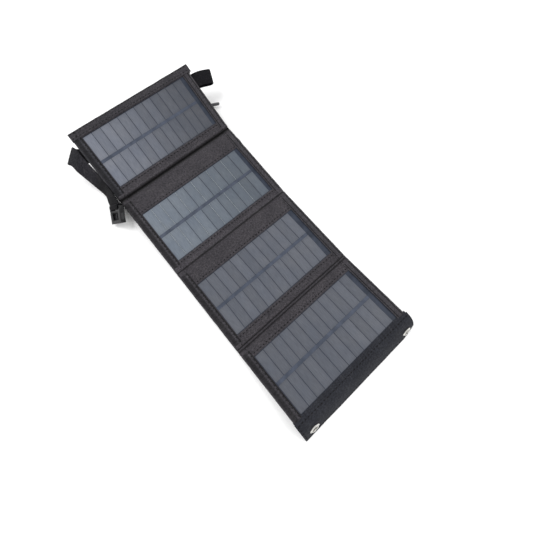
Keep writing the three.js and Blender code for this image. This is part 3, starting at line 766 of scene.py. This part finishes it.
def cells(k):
    """Twelve strips in each of two rows, each a thin plate, slightly crowned, with low edges."""
    w0, w1 = WINDOW[k]
    y0, y1 = w0 + 0.9, w1 - 0.9
    row = (y1 - y0 - 4.9) / 2
    pitch = cell_pitch(k)
    nx, ny = 5, 9
    verts, faces, uvs, tone_and_painted_reflection = [], [], [], []
    for r, (a, b) in enumerate(((y0, y0 + row), (y1 - row, y1))):
        for i in range(12):
            x0 = CELL_START + i * pitch
            x1 = x0 + pitch - CELL_GAP
            tone = 1.0 + 0.05 * math.sin(3.7 * i + 5.1 * r + 2.3 * k) + 0.035 * math.sin(9.1 * i + k)
            tilt = 0.05 * math.sin(2.9 * i + 1.7 * r + k)
            start = len(verts)
            for j in range(ny):
                for q in range(nx):
                    u, v = q / (nx - 1), j / (ny - 1)
                    edge = q in (0, nx - 1) or j in (0, ny - 1)
                    y = a + (b - a) * v
                    x = x0 + (x1 - x0) * u
                    if k == 3:
                        x += 0.75 * math.sin(math.pi * (y - w0) / (w1 - w0)) - 0.35
                    z = -0.56 + 0.07 * math.sin(math.pi * u) + tilt * (u - 0.5)
                    verts.append(at(k, x, y, z - (0.07 if edge else 0.0)))
                    uvs.append((x, y))
                    # Each strip's own tone, times the painted reflection across the panel
                    tone_and_painted_reflection.append(tone * painted_reflection(k, x) * (0.9 if edge else 1.0))
            for j in range(ny - 1):
                for q in range(nx - 1):
                    o = start + j * nx + q
                    faces.append((o, o + 1, o + nx + 1, o + nx))
            skirt = [start + q for q in range(nx)]
            skirt += [start + j * nx + nx - 1 for j in range(1, ny)]
            skirt += [start + (ny - 1) * nx + q for q in range(nx - 2, -1, -1)]
            skirt += [start + j * nx for j in range(ny - 2, 0, -1)]
            base = len(verts)
            for s in skirt:
                verts.append(verts[s] + (direction(k, 0, 0, -0.00016)))
                uvs.append(uvs[s])
                tone_and_painted_reflection.append(0.45)
            n = len(skirt)
            for j in range(n):
                faces.append((skirt[j], base + j, base + (j + 1) % n, skirt[(j + 1) % n]))
            faces.append(tuple(base + j for j in range(n - 1, -1, -1)))
    obj = make(f"cells_{k}", verts, faces, uvs, "cells", f"panel_{k}")
    color = obj.data.color_attributes.new("shade", "FLOAT_COLOR", "POINT")
    # Panel 2's cells take a slight cyan tint: painted reflection
    reflection_tint = np.array(PAINTED_REFLECTION_TINT.get(k, (1.0, 1.0, 1.0)) + (1.0,), np.float32)
    color.data.foreach_set("color", (np.array(tone_and_painted_reflection, np.float32)[:, None] * reflection_tint).ravel())
    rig.replaces(obj, f"cell_string_{k}")


def film_frame(k):
    """The laminate round the cells, the ribbon between their rows, and the bright tabs on panel 2, whose brightness is
    a painted glint.
    """
    w0, w1 = WINDOW[k]
    xs = lines(WINDOW_X[0] - 0.6, WINDOW_X[1] + 0.6, 5)
    ys = lines(w0 - 0.6, w1 + 0.6, 5)
    top = lambda x, y: at(k, x, y, -0.84 + 0.03 * rough(x, y, 25, k))
    low = lambda x, y: at(k, x, y, -0.95)
    shell(f"film_{k}", xs, ys, top, low, "laminate", f"panel_{k}")
    mid = (w0 + w1) / 2
    xs = lines(-86.3, CELL_END[k] - 0.2, 4)
    ys = [mid - 2.3, mid - 2.0, mid, mid + 2.0, mid + 2.3]
    over = lambda x, y: at(k, x, y, -0.6 + 0.03 * rough(x, y, 12, k))
    under = lambda x, y: at(k, x, y, -0.73)
    shell(f"busbar_{k}", xs, ys, over, under, "ribbon", f"panel_{k}")
    # Panel 2 alone gets bright tabs between some strips: painted glint
    if k != 2:
        return
    over = lambda x, y: at(k, x, y, -0.57)
    under = lambda x, y: at(k, x, y, -0.78)
    for i in (1, 2, 4, 6, 8, 10):
        x = CELL_START + i * cell_pitch(k) - CELL_GAP / 2
        for n, (a, b) in enumerate(((w0 + 1.2, mid - 2.6), (mid + 2.6, w1 - 1.2))):
            shell(f"tab_{i}_{n}", [x - 0.2, x, x + 0.2], lines(a, b, 6), over, under, "tab", f"panel_{k}")


# A side tape's section: distance out from the middle of the panel, and height
TAPE = [
    (87.5, 0.35), (87.7, 0.8), (90.0, 1.05), (94.0, 1.08), (97.2, 1.0), (98.9, 0.65), (99.85, -0.2), (100.1, -1.6),
    (99.95, -3.0), (99.1, -4.1), (97.4, -4.42), (92.0, -4.46), (87.6, -4.4), (87.5, -3.95), (92.0, -3.8), (98.6, -3.6),
    (99.2, -1.7), (98.6, 0.0), (97.0, 0.45), (92.0, 0.5),
]


def tape_rings(k, side, ys):
    rings, uvs = [], []
    for y in ys:
        wobble = 0.16 * rough(y, side * 9, 14, k) + 0.12 * rough(y, side * 5, 5, k + 4)
        pucker = 0.07 * math.cos(2 * math.pi * y / STITCH)
        bulge = 0.9 * math.exp(-(((y - 106) / 5) ** 2)) if (k == 2 and side > 0) else 0.0
        ring = []
        for i, (x, z) in enumerate(TAPE):
            lift = pucker * math.exp(-(((x - 90) / 2.4) ** 2)) if z > 0.6 else 0.0
            out = (x - 87.5) / 12.6
            ring.append(at(k, side * (x + (wobble + bulge) * out), y, z + lift + 0.5 * wobble * out))
            uvs.append((x + abs(z), y))
        rings.append(ring if side > 0 else ring[::-1])
    return rings, uvs


def tapes(k):
    y0 = SPAN[k][0] + (WEB if k != 4 else 0.8)
    y1 = SPAN[k][1] - (WEB if k != 1 else 1.2)
    for side, word in ((-1, "left"), (1, "right")):
        rings, uvs = tape_rings(k, side, lines(y0, y1, 1.32))
        # The first panel's left tape takes the darker copy: painted shade
        slot = "side_tape_shade" if k == 1 and side < 0 else "side_tape"
        obj = sweep(f"side_tape_{word}_{k}", rings, slot, f"panel_{k}", uvs)
        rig.replaces(obj, f"binding_{word}_{k}")


def panel_threads(k):
    rows = Threads()
    w0, w1 = WINDOW[k]
    normal = direction(k, 0, 0, 1)

    def line(x0, y0, x1, y1, lift=None):
        length = math.hypot(x1 - x0, y1 - y0)

        def path(s):
            x, y = x0 + (x1 - x0) * s / length, y0 + (y1 - y0) * s / length
            return at(k, x, y, lift if lift is not None else cloth_height(k, x, y) + 0.03), normal

        rows.row(path, length)

    if k != 4:
        line(-87, w0 - 3.4, 88, w0 - 3.4)
    line(-87, w1 + 3.4, 88, w1 + 3.4)
    y0, y1 = SPAN[k][0] + 1.5, SPAN[k][1] - 1.5
    line(-90.0, y0, -90.0, y1, 0.8)
    line(90.0, y0, 90.0, y1, 0.8)
    line(96.6, y0, 96.6, y1, 0.76)
    if k == 1:
        for x in (-90, 96):
            line(x - 3, 100, x + 3, 104, 0.66)
    rows.make(f"stitches_{k}", f"panel_{k}")


# ---- Folds: the cloth between two panels, thin and creased where there is no board
# The lower and the upper panel, the fold's place in each one's frame, and its kind
FOLDS = {
    "fold_1": (2, 1, 132.0, 0.0, "groove"),
    "fold_2": (3, 2, 0.0, 0.0, "ridge"),
    "fold_3": (4, 3, 0.0, -131.2, "double"),
}
BACK_RISE = {"groove": -1.2, "ridge": 0.6, "double": 0.9}


def crease_depth(kind, s):
    if kind == "groove":
        return 3.3 * math.exp(-((abs(s) / 1.9) ** 1.5)) - 0.35 * math.exp(-(((s - 5) / 1.5) ** 2))
    if kind == "ridge":
        return 2.1 * math.exp(-((abs(s) / 0.85) ** 1.5)) - 0.3 * math.exp(-(((s + 3.0) / 1.6) ** 2))
    return 1.5 * math.exp(-(((s - 1.6) / 0.7) ** 2)) + 1.5 * math.exp(-(((s + 1.6) / 0.7) ** 2))


def fold_point(name, x, s, z):
    """A point at signed distance s over a fold: the lower panel's side is negative."""
    a, b, end_a, end_b, _ = FOLDS[name]
    w = step(-1.6, 1.6, s)
    return at(a, x, end_a + s, z).lerp(at(b, x, end_b + s, z), w)


def fold_web(name):
    a, b, end_a, end_b, kind = FOLDS[name]
    bodies = (f"panel_{a}", f"panel_{b}")
    edge = WEB + 0.4
    ss = lines(-edge, edge, 0.55)
    start, end = at(a, 0, end_a - edge + 1, -1.5), at(b, 0, end_b + edge - 1, -1.5)

    def height(x, s):
        k, y = (a, end_a + s) if s < 0 else (b, end_b + s)
        own = cloth_height(k, x, y) if abs(s) > 0.01 else 0.1
        ripple = 0.18 * rough(x, s * 3, 7, 40) + 0.22 * rough(x, s, 22, 41)
        return own * step(0.5, 4.5, abs(s)) + ripple * (1 - abs(s) / edge) - crease_depth(kind, s)

    top = lambda x, s: fold_point(name, x, s, height(x, s) + 0.02)

    def low(x, s):
        rise = BACK_RISE[kind] * math.exp(-((s / 2.0) ** 2))
        return fold_point(name, x, s, -3.6 + rise + 0.15 * rough(x, s, 15, 42))

    # The fold's cloth and its tapes take a copy of the front fabric with painted shade in its crease
    obj = shell(f"fold_cloth_{name}", lines(-98.6, 98.6, 2.4), ss, top, low, f"fold_{kind}")
    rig.blend(obj, *bodies, start, end)
    for side, word in ((-1, "left"), (1, "right")):
        rings, uvs = [], []
        for s in ss:
            pinch = 0.75 * crease_depth(kind, s)
            ring = []
            for x, z in TAPE:
                squeeze = z - pinch if z > -1.6 else z + pinch * 0.5
                ring.append(fold_point(name, side * (x - 0.25 * pinch * (x > 99)), s, squeeze + 0.02))
                uvs.append((x + abs(z), s))
            rings.append(ring if side > 0 else ring[::-1])
        tape = sweep(f"fold_tape_{word}_{name}", rings, f"fold_{kind}", None, uvs)
        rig.blend(tape, *bodies, start, end)


# ---- Top hem: a tape folded over the top edge, flaring a little at its right end
def hem():
    end = 116.9
    section = [
        (-12.3, 1.05), (-12.1, 1.72), (-9, 1.98), (-4, 2.02), (-1.2, 1.75), (-0.15, 0.6), (0.0, -1.8), (-0.25, -4.2),
        (-1.3, -5.15), (-5, -5.28), (-12.1, -5.22), (-12.2, -4.7), (-6, -4.6), (-1.5, -4.3), (-1.0, -1.8), (-1.5, 0.7),
        (-6, 1.2),
    ]
    rings, uvs = [], []
    for x in lines(-100.8, 103.2, 1.4):
        flare = step(92, 103, x)
        wave = 0.22 * rough(x, 0, 17, 50) + 0.1 * rough(x, 3, 5, 51)
        ring = []
        for y, z in section:
            pucker = 0.12 * math.cos(2 * math.pi * x / STITCH) * math.exp(-(((y + 9.5) / 1.6) ** 2))
            lift = (pucker if z > 1.2 else 0) + wave * 0.6 + 0.35 * flare
            depth = y * (1 + 0.12 * flare)
            ring.append(at(1, x, end + depth - 0.8 + 0.8 * wave * (y > -6), z + lift))
            uvs.append((x, y + abs(z)))
        rings.append(ring)
    obj = sweep("top_hem_tape", rings, "binding", "panel_1", uvs)
    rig.replaces(obj, "top_hem")
    rows = Threads()
    normal = direction(1, 0, 0, 1)
    for y, z in ((10.3, 1.75), (2.9, 1.72)):
        rows.row(lambda s, y=y, z=z: (at(1, -100 + s, end - y, z), normal), 200)
    for x in (-92.6, -91.0):
        rows.row(lambda s, x=x: (at(1, x, end - 11 + s, 1.75), normal), 9)
    rows.make("hem_stitches", "panel_1")


# ---- Flap
FLAP_X = (-101.5, 103.6)
# Each eyelet's name, x, and distance from the flap's free edge
EYELETS = (("left", -83.8, 8.5), ("right", 88.0, 7.8))
EYELET_LEAN = math.radians(8)
FLAP_CURL = 70.0  # bend radius of the flap beyond its turn
FLAP_LENGTH = 33


def flap_state(x):
    """The flap's turn in radians, its length and its bend radius at x: the right end tucks under a little sooner."""
    tuck = step(78, 100, x)
    return math.radians(51 + 8 * tuck), 34.0 - 1.6 * tuck, 21.8 - 1.2 * tuck


def flap_at(x, s, d):
    """A point on the flap at arc length s from the seam and depth d under its face, and the normal there."""
    turn_end, length, r = flap_state(x)
    turn = min(max(s, 0) / r, turn_end)
    bend = turn + max(0.0, s - turn_end * r) / FLAP_CURL
    wave = 0.35 * rough(x, s, 42, 60) + 0.16 * rough(x, s, 12, 61)
    wave *= step(0, 8, s)
    ridge = -0.28 * math.exp(-(((length - s - 3.4) / 0.8) ** 2)) - 0.22 * math.exp(-(((s - 4.2) / 0.8) ** 2))
    out = wave + ridge - d
    y = -105.1 - r * math.sin(turn) - FLAP_CURL * (math.sin(bend) - math.sin(turn)) - out * math.sin(bend) - min(s, 0)
    z = -r + r * math.cos(turn) - FLAP_CURL * (math.cos(turn) - math.cos(bend)) + out * math.cos(bend)
    return at(4, x, y, z), direction(4, 0, -math.sin(bend), math.cos(bend))


def corner(x, reach):
    """How much shorter the flap is at x, for a rounded right corner and a slightly rounded left one."""
    cut = 0.0
    for edge, r in ((FLAP_X[1], 8.0), (FLAP_X[0], 1.4)):
        t = r - abs(edge - x)
        if 0 < t:
            cut = max(cut, (r - math.sqrt(max(0.0, r * r - t * t))) * reach)
    return cut


def flap():
    left, right = FLAP_X
    us = lines(left, right, 2.2, (right - 0.3, right - 1.0, right - 2.0, left + 0.4))
    vs = lines(0.0, 1.0, 1 / 24, (0.99,))

    def along(x, v):
        length = flap_state(x)[1]
        return 0.5 + (length - 0.5 - corner(x, 1.0)) * v

    def roundness(x, v):
        """1 in the middle of the cloth, falling to 0 at its edges as a quarter circle."""
        edge = min(1.0, (1 - v) * FLAP_LENGTH / 0.9, (abs(right - x) + 0.05) / 0.9, (abs(x - left) + 0.05) / 0.9)
        return math.sqrt(max(0.0, edge * (2 - edge)))

    top = lambda x, v: flap_at(x, along(x, v), 0.75 * (1 - roundness(x, v)))[0]
    low = lambda x, v: flap_at(x, along(x, v), 0.75 + 0.75 * roundness(x, v))[0]

    cloth = shell("flap_cloth", us, vs, top, low, "flap_fabric", uv=lambda x, v: (x, FLAP_LENGTH * v))
    for _, x, inset in EYELETS:
        place, normal = flap_at(x, flap_state(x)[1] - inset, 0.7)
        bpy.ops.mesh.primitive_cylinder_add(vertices=48, radius=0.0058, depth=0.012, location=place)
        cutter = bpy.context.object
        cutter.rotation_mode = "QUATERNION"
        cutter.rotation_quaternion = normal.to_track_quat("Z", "Y")
        mod = cloth.modifiers.new("eye", "BOOLEAN")
        mod.operation = "DIFFERENCE"
        mod.object = cutter
        settle(cloth)
        bpy.data.objects.remove(cutter)
    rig.ride(cloth, "flap")
    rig.sheet(cloth, flat=(0.2051, 0.0335), held="hung", rests_on=["stiffener_4"], with_pieces=[])
    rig.replaces(cloth, "flap_front", "flap_back")
    rows = Threads()

    def edge_row(s):
        x = left + 4 + s
        return flap_at(x, flap_state(x)[1] - 3.4 - corner(x + 3, 0.8), -0.25)

    rows.row(edge_row, right - left - 11)
    rows.row(lambda s: flap_at(left + 3.2, 3 + s, -0.25), 25)
    rows.row(lambda s: flap_at(left + 2 + s, 4.2, -0.3), right - left - 4)
    rows.make("flap_stitches", "flap")
    shell(
        "flap_seam_tape",
        lines(-100.6, 101.4, 2.4),
        lines(0.0, 1.0, 0.125),
        lambda x, v: at(4, x, -102.4 - 3.1 * v, 0.34 + 0.35 * math.sin(math.pi * v) + 0.07 * rough(x, v, 6, 65)),
        lambda x, v: at(4, x, -102.4 - 3.1 * v, -0.5),
        "flap_fabric",
        "panel_4",
        uv=lambda x, v: (x, 3 * v),
    )


def lathe(name, profile, place, normal, slot, body):
    """A ring whose closed profile of (radius, height) pairs is turned about the normal at place."""
    turn = normal.to_track_quat("Z", "Y").to_matrix()
    m = 56
    verts, faces, uvs = [], [], []
    for i, (r, z) in enumerate(profile):
        k = (i + 1) % len(profile)
        for j in range(m):
            a = 2 * math.pi * j / m
            q = (j + 1) % m
            verts.append(place + turn @ (Vector((r * math.cos(a), r * math.sin(a), z)) / 1000))
            uvs.append((j, i))
            faces.append((i * m + j, i * m + q, k * m + q, k * m + j))
    return make(name, verts, faces, uvs, slot, body)


RIM = [
    (4.2, -1.9), (4.2, 0.3), (4.35, 0.8), (4.75, 1.1), (5.2, 1.05), (5.6, 0.7), (6.0, 0.45), (6.5, 0.5), (7.0, 0.55),
    (7.45, 0.4), (7.7, 0.1), (7.55, -0.1), (5.3, -0.1), (5.1, -1.9),
]
WASHER = [(4.8, 0.1), (5.0, -0.5), (5.7, -0.8), (6.5, -0.7), (7.3, -0.2), (7.4, 0.1), (7.0, 0.15), (5.0, 0.2)]


def eyelets():
    for word, x, inset in EYELETS:
        place, normal = flap_at(x, flap_state(x)[1] - inset, 0.0)
        turn = direction(4, 1, 0, 0)
        normal = Matrix.Rotation(EYELET_LEAN, 3, turn) @ normal
        place -= normal * 0.0004
        rim = lathe(f"eyelet_{word}", RIM, place, normal, "eyelet_metal", "flap")
        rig.replaces(rim, f"grommet_{word}")
        back, _ = flap_at(x, flap_state(x)[1] - inset, 1.62)
        washer = lathe(f"eyelet_washer_{word}", WASHER, back, normal, "eyelet_metal", "flap")
        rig.replaces(washer, f"grommet_washer_{word}")


# ---- Webbing
def catmull(points, n):
    """n + 1 points on a smooth curve through the given ones."""
    pts = [Vector(p) for p in points]
    pts = [2 * pts[0] - pts[1], *pts, 2 * pts[-1] - pts[-2]]
    made = []
    spans = len(pts) - 3
    for i in range(n + 1):
        t = i / n * spans
        j = min(int(t), spans - 1)
        t -= j
        a, b, c, d = pts[j : j + 4]
        square, cube = 2 * a - 5 * b + 4 * c - d, 3 * b - a - 3 * c + d
        made.append(0.5 * ((2 * b) + (c - a) * t + square * t * t + cube * t ** 3))
    return made


# The webbing's section, as shares of its half width and half thickness
WEB_SECTION = [
    (-1.0, 0.0), (-0.985, 0.55), (-0.94, 0.9), (-0.5, 1.0), (0.0, 1.02), (0.5, 1.0), (0.94, 0.9), (0.985, 0.55),
    (1.0, 0.0), (0.985, -0.55), (0.94, -0.9), (0.5, -1.0), (0.0, -1.02), (-0.5, -1.0), (-0.94, -0.9), (-0.985, -0.55),
]


def webbing(name, centres, widths, normals, n, body, half=12.4, thick=0.72, slot="webbing"):
    """Webbing along the given centres, with its width and face directions there; n steps long."""
    c, u, f = catmull(centres, n), catmull(widths, n), catmull(normals, n)
    rings, uvs, run = [], [], 0.0
    shift = ORIGIN * 1000
    for i in range(n + 1):
        across = u[i].normalized()
        face = (f[i] - f[i].dot(across) * across).normalized()
        if i:
            run += (c[i] - c[i - 1]).length
        ring = []
        for a, b in WEB_SECTION:
            ripple = 1 + 0.03 * math.sin(run * 2.4 + 5 * a)
            sideways = across * a * half * (1 + 0.006 * math.sin(run * 1.3))
            ring.append((c[i] + shift + sideways + face * b * thick * ripple) / 1000)
            uvs.append((a * half + (20 if b < 0 else 0), run))
        rings.append(ring)
    return sweep(name, rings, slot, body, uvs)


# The strap's centre, width direction and face direction at each station
STRAP_ROOT = [
    ((-88.2, 214, 27), (0, 1, 0), (-0.2, 0, 1)),
    ((-98, 216, 29.5), (0.3, 1, 0.1), (-0.25, 0, 1)),
    ((-107, 219, 31.5), (0.65, 0.72, 0.2), (-0.2, -0.1, 1)),
    ((-113.5, 223, 33), (0.76, 0.56, 0.3), (-0.4, 0.3, 0.8)),
    ((-115.6, 225.6, 35.2), (0.76, 0.56, 0.3), (-0.75, 0.75, 0.1)),
    ((-114.2, 223.5, 37.4), (0.76, 0.56, 0.3), (0.3, -0.3, -0.85)),
    ((-112.6, 217, 37.0), (0.76, 0.52, 0.38), (0.3, 0.1, -0.9)),
    ((-111.9, 206.8, 33.2), (0.74, 0.46, 0.47), (0.33, 0.25, -0.85)),
]
STRAP_FREE = [
    ((-112.4, 209.2, 35.5), (0.73, 0.44, 0.5), (0.34, 0.3, -0.8)),
    ((-109.3, 190, 26.3), (0.62, 0.22, 0.74), (0.7, 0.2, -0.5)),
    ((-106.6, 173.5, 18.6), (0.56, -0.06, 0.82), (0.9, 0.05, -0.3)),
    ((-105.4, 156.5, 15.7), (0.43, -0.24, 0.87), (0.95, -0.1, -0.3)),
    ((-107.1, 142, 16.0), (0.5, -0.42, 0.75), (0.85, -0.1, -0.5)),
    ((-108.9, 130.0, 18.4), (0.51, -0.565, 0.65), (0.72, -0.12, -0.68)),
]
BUCKLE_SHIFT = Vector((1.3, 0.0, 0.0))


def strap():
    # The fold and the strap's upper length are lighter copies of the webbing: painted highlight
    root = webbing("strap_fold", *zip(*STRAP_ROOT), 70, "panel_1", slot="webbing_fold")
    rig.replaces(root, "strap_root")
    free = webbing("strap_length", *zip(*STRAP_FREE), 60, "strap", slot="webbing_strap")
    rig.replaces(free, "strap_free")
    body = bevelled("buckle_body", "buckle", "buckle_plastic", "buckle", 0.0006, 3)
    body.data.transform(Matrix.Translation(BUCKLE_SHIFT / 1000))
    bar_wrap()


def buckle_axes():
    """The buckle's own axes: across the webbing, along it towards the strap, and out of its face."""
    across = Vector((0.51, -0.565, 0.65)).normalized()
    along = Vector((0.47, 0.82, 0.34))
    along = (along - along.dot(across) * across).normalized()
    return across, along, across.cross(along)


def bar_wrap():
    """The webbing's turn round the buckle's bar, and the dark tongue down in the buckle's mouth."""
    across, along, face = buckle_axes()
    here = Vector((-117.6, 119, 17.8)) + BUCKLE_SHIFT
    path = [(14.6, -3.0), (13.9, -0.6), (12.6, 0.95), (10.9, 1.15), (9.0, 0.8), (7.7, -0.9), (7.6, -3.75)]
    path += [(7.7, -6.6), (9.0, -8.3), (10.9, -8.6), (12.6, -8.4), (13.9, -6.9), (14.6, -4.5)]
    centres, normals = [], []
    for i, (y, z) in enumerate(path):
        before, after = path[max(0, i - 1)], path[min(len(path) - 1, i + 1)]
        run = Vector((after[0] - before[0], after[1] - before[1])).normalized()
        centres.append(here + along * y + face * z)
        normals.append(along * run.y - face * run.x)
    webbing("buckle_wrap", centres, [across] * len(path), normals, 48, "buckle", 9.6, 0.6)
    origin = (here + ORIGIN * 1000) / 1000

    def in_buckle(x, y, z):
        return origin + (across * x + along * y + face * z) / 1000

    def mouth(x, y):
        z = -4.6 + 2.9 * (x / 11.7) ** 4 - 0.5 * step(-9, -12.2, y) + 0.5 * math.exp(-((x / 1.6) ** 2))
        return in_buckle(x, y, z)

    shell(
        "buckle_tongue",
        lines(-11.7, 11.7, 1.2),
        lines(-12.2, 3.2, 1.2),
        mouth,
        lambda x, y: in_buckle(x, y, -5.9),
        "case_plastic",
        "buckle",
    )


def loop():
    """Flat loop of webbing, sewn by both ends to the top panel's back edge."""
    centres, widths, normals = [], [], []
    upper, space, end, t = -5.2, 8.2, 131.0, 1.5
    mid = upper - t - space / 2
    r = space / 2 + t / 2
    path = [(89.5, upper - t / 2), (100, upper - 0.6), (112, upper - 0.4), (end - r, upper - t / 2)]
    for i in range(1, 8):
        a = math.pi / 2 - math.pi * i / 8
        path.append((end - r + r * math.cos(a), mid + r * math.sin(a)))
    path += [(end - r, mid - r), (112, mid - r - 0.2), (101, mid - r + 1.4), (90.5, upper - 1.9 * t)]
    for i, (x, z) in enumerate(path):
        before, after = path[max(0, i - 1)], path[min(len(path) - 1, i + 1)]
        tangent = Vector((after[0] - before[0], 0, after[1] - before[1])).normalized()
        normal = direction(1, -tangent.z, 0, tangent.x)
        lean = math.radians(8) + math.radians(14) * step(96, 116, x)
        y = 89.7 + 3.6 * step(95, 116, x) - 0.34 * max(0.0, x - 101)
        centres.append((at(1, x, y, z) - ORIGIN) * 1000)
        widths.append(direction(1, math.sin(lean), math.cos(lean), 0))
        normals.append(normal)
    obj = webbing("side_loop", centres, widths, normals, 90, "panel_1", 11.3)
    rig.replaces(obj, "loop_right")
    rows = Threads()
    normal = direction(1, 0, 0, -1)
    for x in (91.5, 97.0):
        rows.row(lambda s, x=x: (at(1, x, 80 + s, -8.6 - (x - 91.5) * 0.72), normal), 22, 2.6)
    rows.make("loop_stitches", "panel_1")


# ---- Pocket
POCKET_Y = (145.02, 227.93)
POCKET_X = 86.8


def ceiling(y):
    """Height of the top panel's back over the floor at y."""
    return 12.925 + (y - 132.778) * math.tan(math.radians(19.6))


def wall(name, node, x_of, y_of, us, low_of, top_of, out):
    """One side of the pocket: thin cloth that sags outwards and is ruckled. out is the outward direction."""
    span = us[-1] - us[0]

    def face(u, v, depth):
        lo, hi = low_of(u), top_of(u)
        z = lo + (hi - lo) * v
        tall = min(1.0, (hi - lo) / 18)
        pin = max(0.0, math.sin(math.pi * v)) ** 0.6 * max(0.0, math.sin(math.pi * (u - us[0]) / span)) ** 0.4
        ruck = 1.0 + 0.9 * rough(u, z * 2.4, 15, 70) + 0.45 * rough(u * 1.6, z, 6, 71)
        sag = pin * tall * ruck - depth
        place = Vector((x_of(u), y_of(u), z)) + Vector(out) * (sag - 0.3)
        return (place / 1000) + ORIGIN

    obj = shell(
        name, us, lines(0.0, 1.0, 1 / 14), lambda u, v: face(u, v, 0.0), lambda u, v: face(u, v, 0.5),
        "back_fabric", "panel_1", uv=lambda u, v: (u, v * (top_of(u) - low_of(u))),
    )
    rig.replaces(obj, node)
    return obj


def pocket():
    ys = lines(*POCKET_Y, 1.8)
    xs = lines(-85.7, 85.7, 2.4)
    high, low = ceiling(POCKET_Y[1]), ceiling(POCKET_Y[0])
    itself = lambda u: u
    always = lambda value: lambda u: value
    left = wall(
        "pocket_side_left", "pocket_gusset_left", always(-POCKET_X), itself, ys, always(0.9), ceiling, (-1, 0, 0)
    )
    top = wall(
        "pocket_end_top", "pocket_gusset_top", itself, always(POCKET_Y[1]), xs, always(0.9), always(high), (0, 1, 0)
    )
    end = wall(
        "pocket_end_low", "pocket_gusset_low", itself, always(POCKET_Y[0]), xs, always(0.9), always(low), (0, -1, 0)
    )
    right = wall(
        "pocket_side_right", "pocket_gusset_right_upper", always(POCKET_X), itself, ys, always(12.9), ceiling, (1, 0, 0)
    )
    length = POCKET_Y[1] - POCKET_Y[0]
    area = length * (low + high - 1.8) / 2 / 1e6
    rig.sheet(left, flat=(length / 1000, 0.0466), area=area, held="hung", rests_on=["pocket_base"])
    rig.sheet(top, flat=(0.1714, (high - 0.9) / 1000), held="hung", rests_on=["pocket_base"])
    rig.sheet(end, flat=(0.1714, (low - 0.9) / 1000), held="hung", rests_on=["pocket_base"])
    area = length * (low + high - 25.8) / 2 / 1e6
    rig.sheet(right, flat=(length / 1000, 0.0346), area=area, held="hung", rests_on=["pocket_base"])
    base = shell(
        "pocket_floor", lines(-POCKET_X, POCKET_X, 2.6), lines(*POCKET_Y, 2.6),
        lambda x, y: Vector((x, y, 1.0 + 0.16 * rough(x, y, 20, 75))) / 1000 + ORIGIN,
        lambda x, y: Vector((x, y, 0.16 + 0.16 * rough(x, y, 14, 76))) / 1000 + ORIGIN,
        "back_fabric", "panel_1",
    )
    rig.sheet(base, flat=(2 * POCKET_X / 1000, length / 1000), held="laid")
    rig.replaces(base, "pocket_base")


def zip_coil():
    """Coil teeth on both tapes: closed above the slider, parted below it."""
    verts, faces, uvs = [], [], []
    steps, sides, wire = 7, 5, 0.24
    y = 149.6
    while y < 222.8:
        open_share = 1 - step(186, 194.5, y)
        for sign in (1, -1):
            z = 7 + sign * (1.15 + open_share * 2.75)
            start = len(verts)
            for i in range(steps):
                a = math.pi * (i / (steps - 1))
                radial = Vector((math.sin(a), 0, sign * math.cos(a)))
                c = Vector((POCKET_X + 0.1 + 0.75 * math.sin(a), y + 0.35 * sign, z + sign * 0.95 * math.cos(a)))
                for j in range(sides):
                    g = 2 * math.pi * j / sides
                    p = c + radial * wire * math.cos(g) + Vector((0, 1, 0)) * wire * math.sin(g)
                    verts.append(p / 1000 + ORIGIN)
                    uvs.append((y, i))
            faces += tube(steps, sides, start)
        y += 1.25
    make("zip_coil", verts, faces, uvs, "zip_tape", "panel_1")


def fittings():
    """The small hard parts: the CAD shapes with their edges rounded, by piece, node, slot, body, width and segments."""
    for piece in (
        ("zip_tape_upper_edge", "zip_tape_upper", "zip_tape", "panel_1", 0.0002),
        ("zip_tape_lower_edge", "zip_tape_lower", "zip_tape", "panel_1", 0.0002),
        ("pocket_hem_right", "pocket_gusset_right_lower", "back_fabric", "panel_1", 0.00025),
        ("zip_end_low", "zip_stop_low", "port_metal", "panel_1", 0.0002),
        ("zip_end_top", "zip_stop_top", "port_metal", "panel_1", 0.0002),
        ("slider_body", "zip_slider", "slider_metal", "slider", 0.00035, 3),
        ("pull_tab", "zip_pull", "pull_grip", "pull", 0.00015),
        ("controller_shell", "controller_case", "case_plastic", "panel_1", 0.0006, 3),
        ("controller_cover", "controller_lid", "case_plastic", "panel_1", 0.0004, 3),
        ("socket_1", "usb_port_1", "port_metal", "panel_1", 0.0002),
        ("socket_2", "usb_port_2", "port_metal", "panel_1", 0.0002),
    ):
        bevelled(*piece)


def repaint(node, slot):
    for s in frame["nodes"][node].material_slots:
        s.material = MATS[slot]


def carried_over():
    """Better materials for the CAD nodes that stay."""
    for k in FRAMES:
        repaint(f"laminate_{k}", "laminate")
        repaint(f"stiffener_{k}", "board")
    repaint("controller_board", "circuit")


camera()
studio()
for number in FRAMES:
    front_cloth(number)
    back_cloth(number)
    cells(number)
    film_frame(number)
    tapes(number)
    panel_threads(number)
for fold in FOLDS:
    fold_web(fold)
hem()
flap()
eyelets()
strap()
loop()
pocket()
zip_coil()
fittings()
carried_over()

with open("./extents.json", "w") as out:
    boxes = {"cad": [list(p) for p in cad_box], "visual": [list(p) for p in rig.bounds()]}
    json.dump(boxes, out)
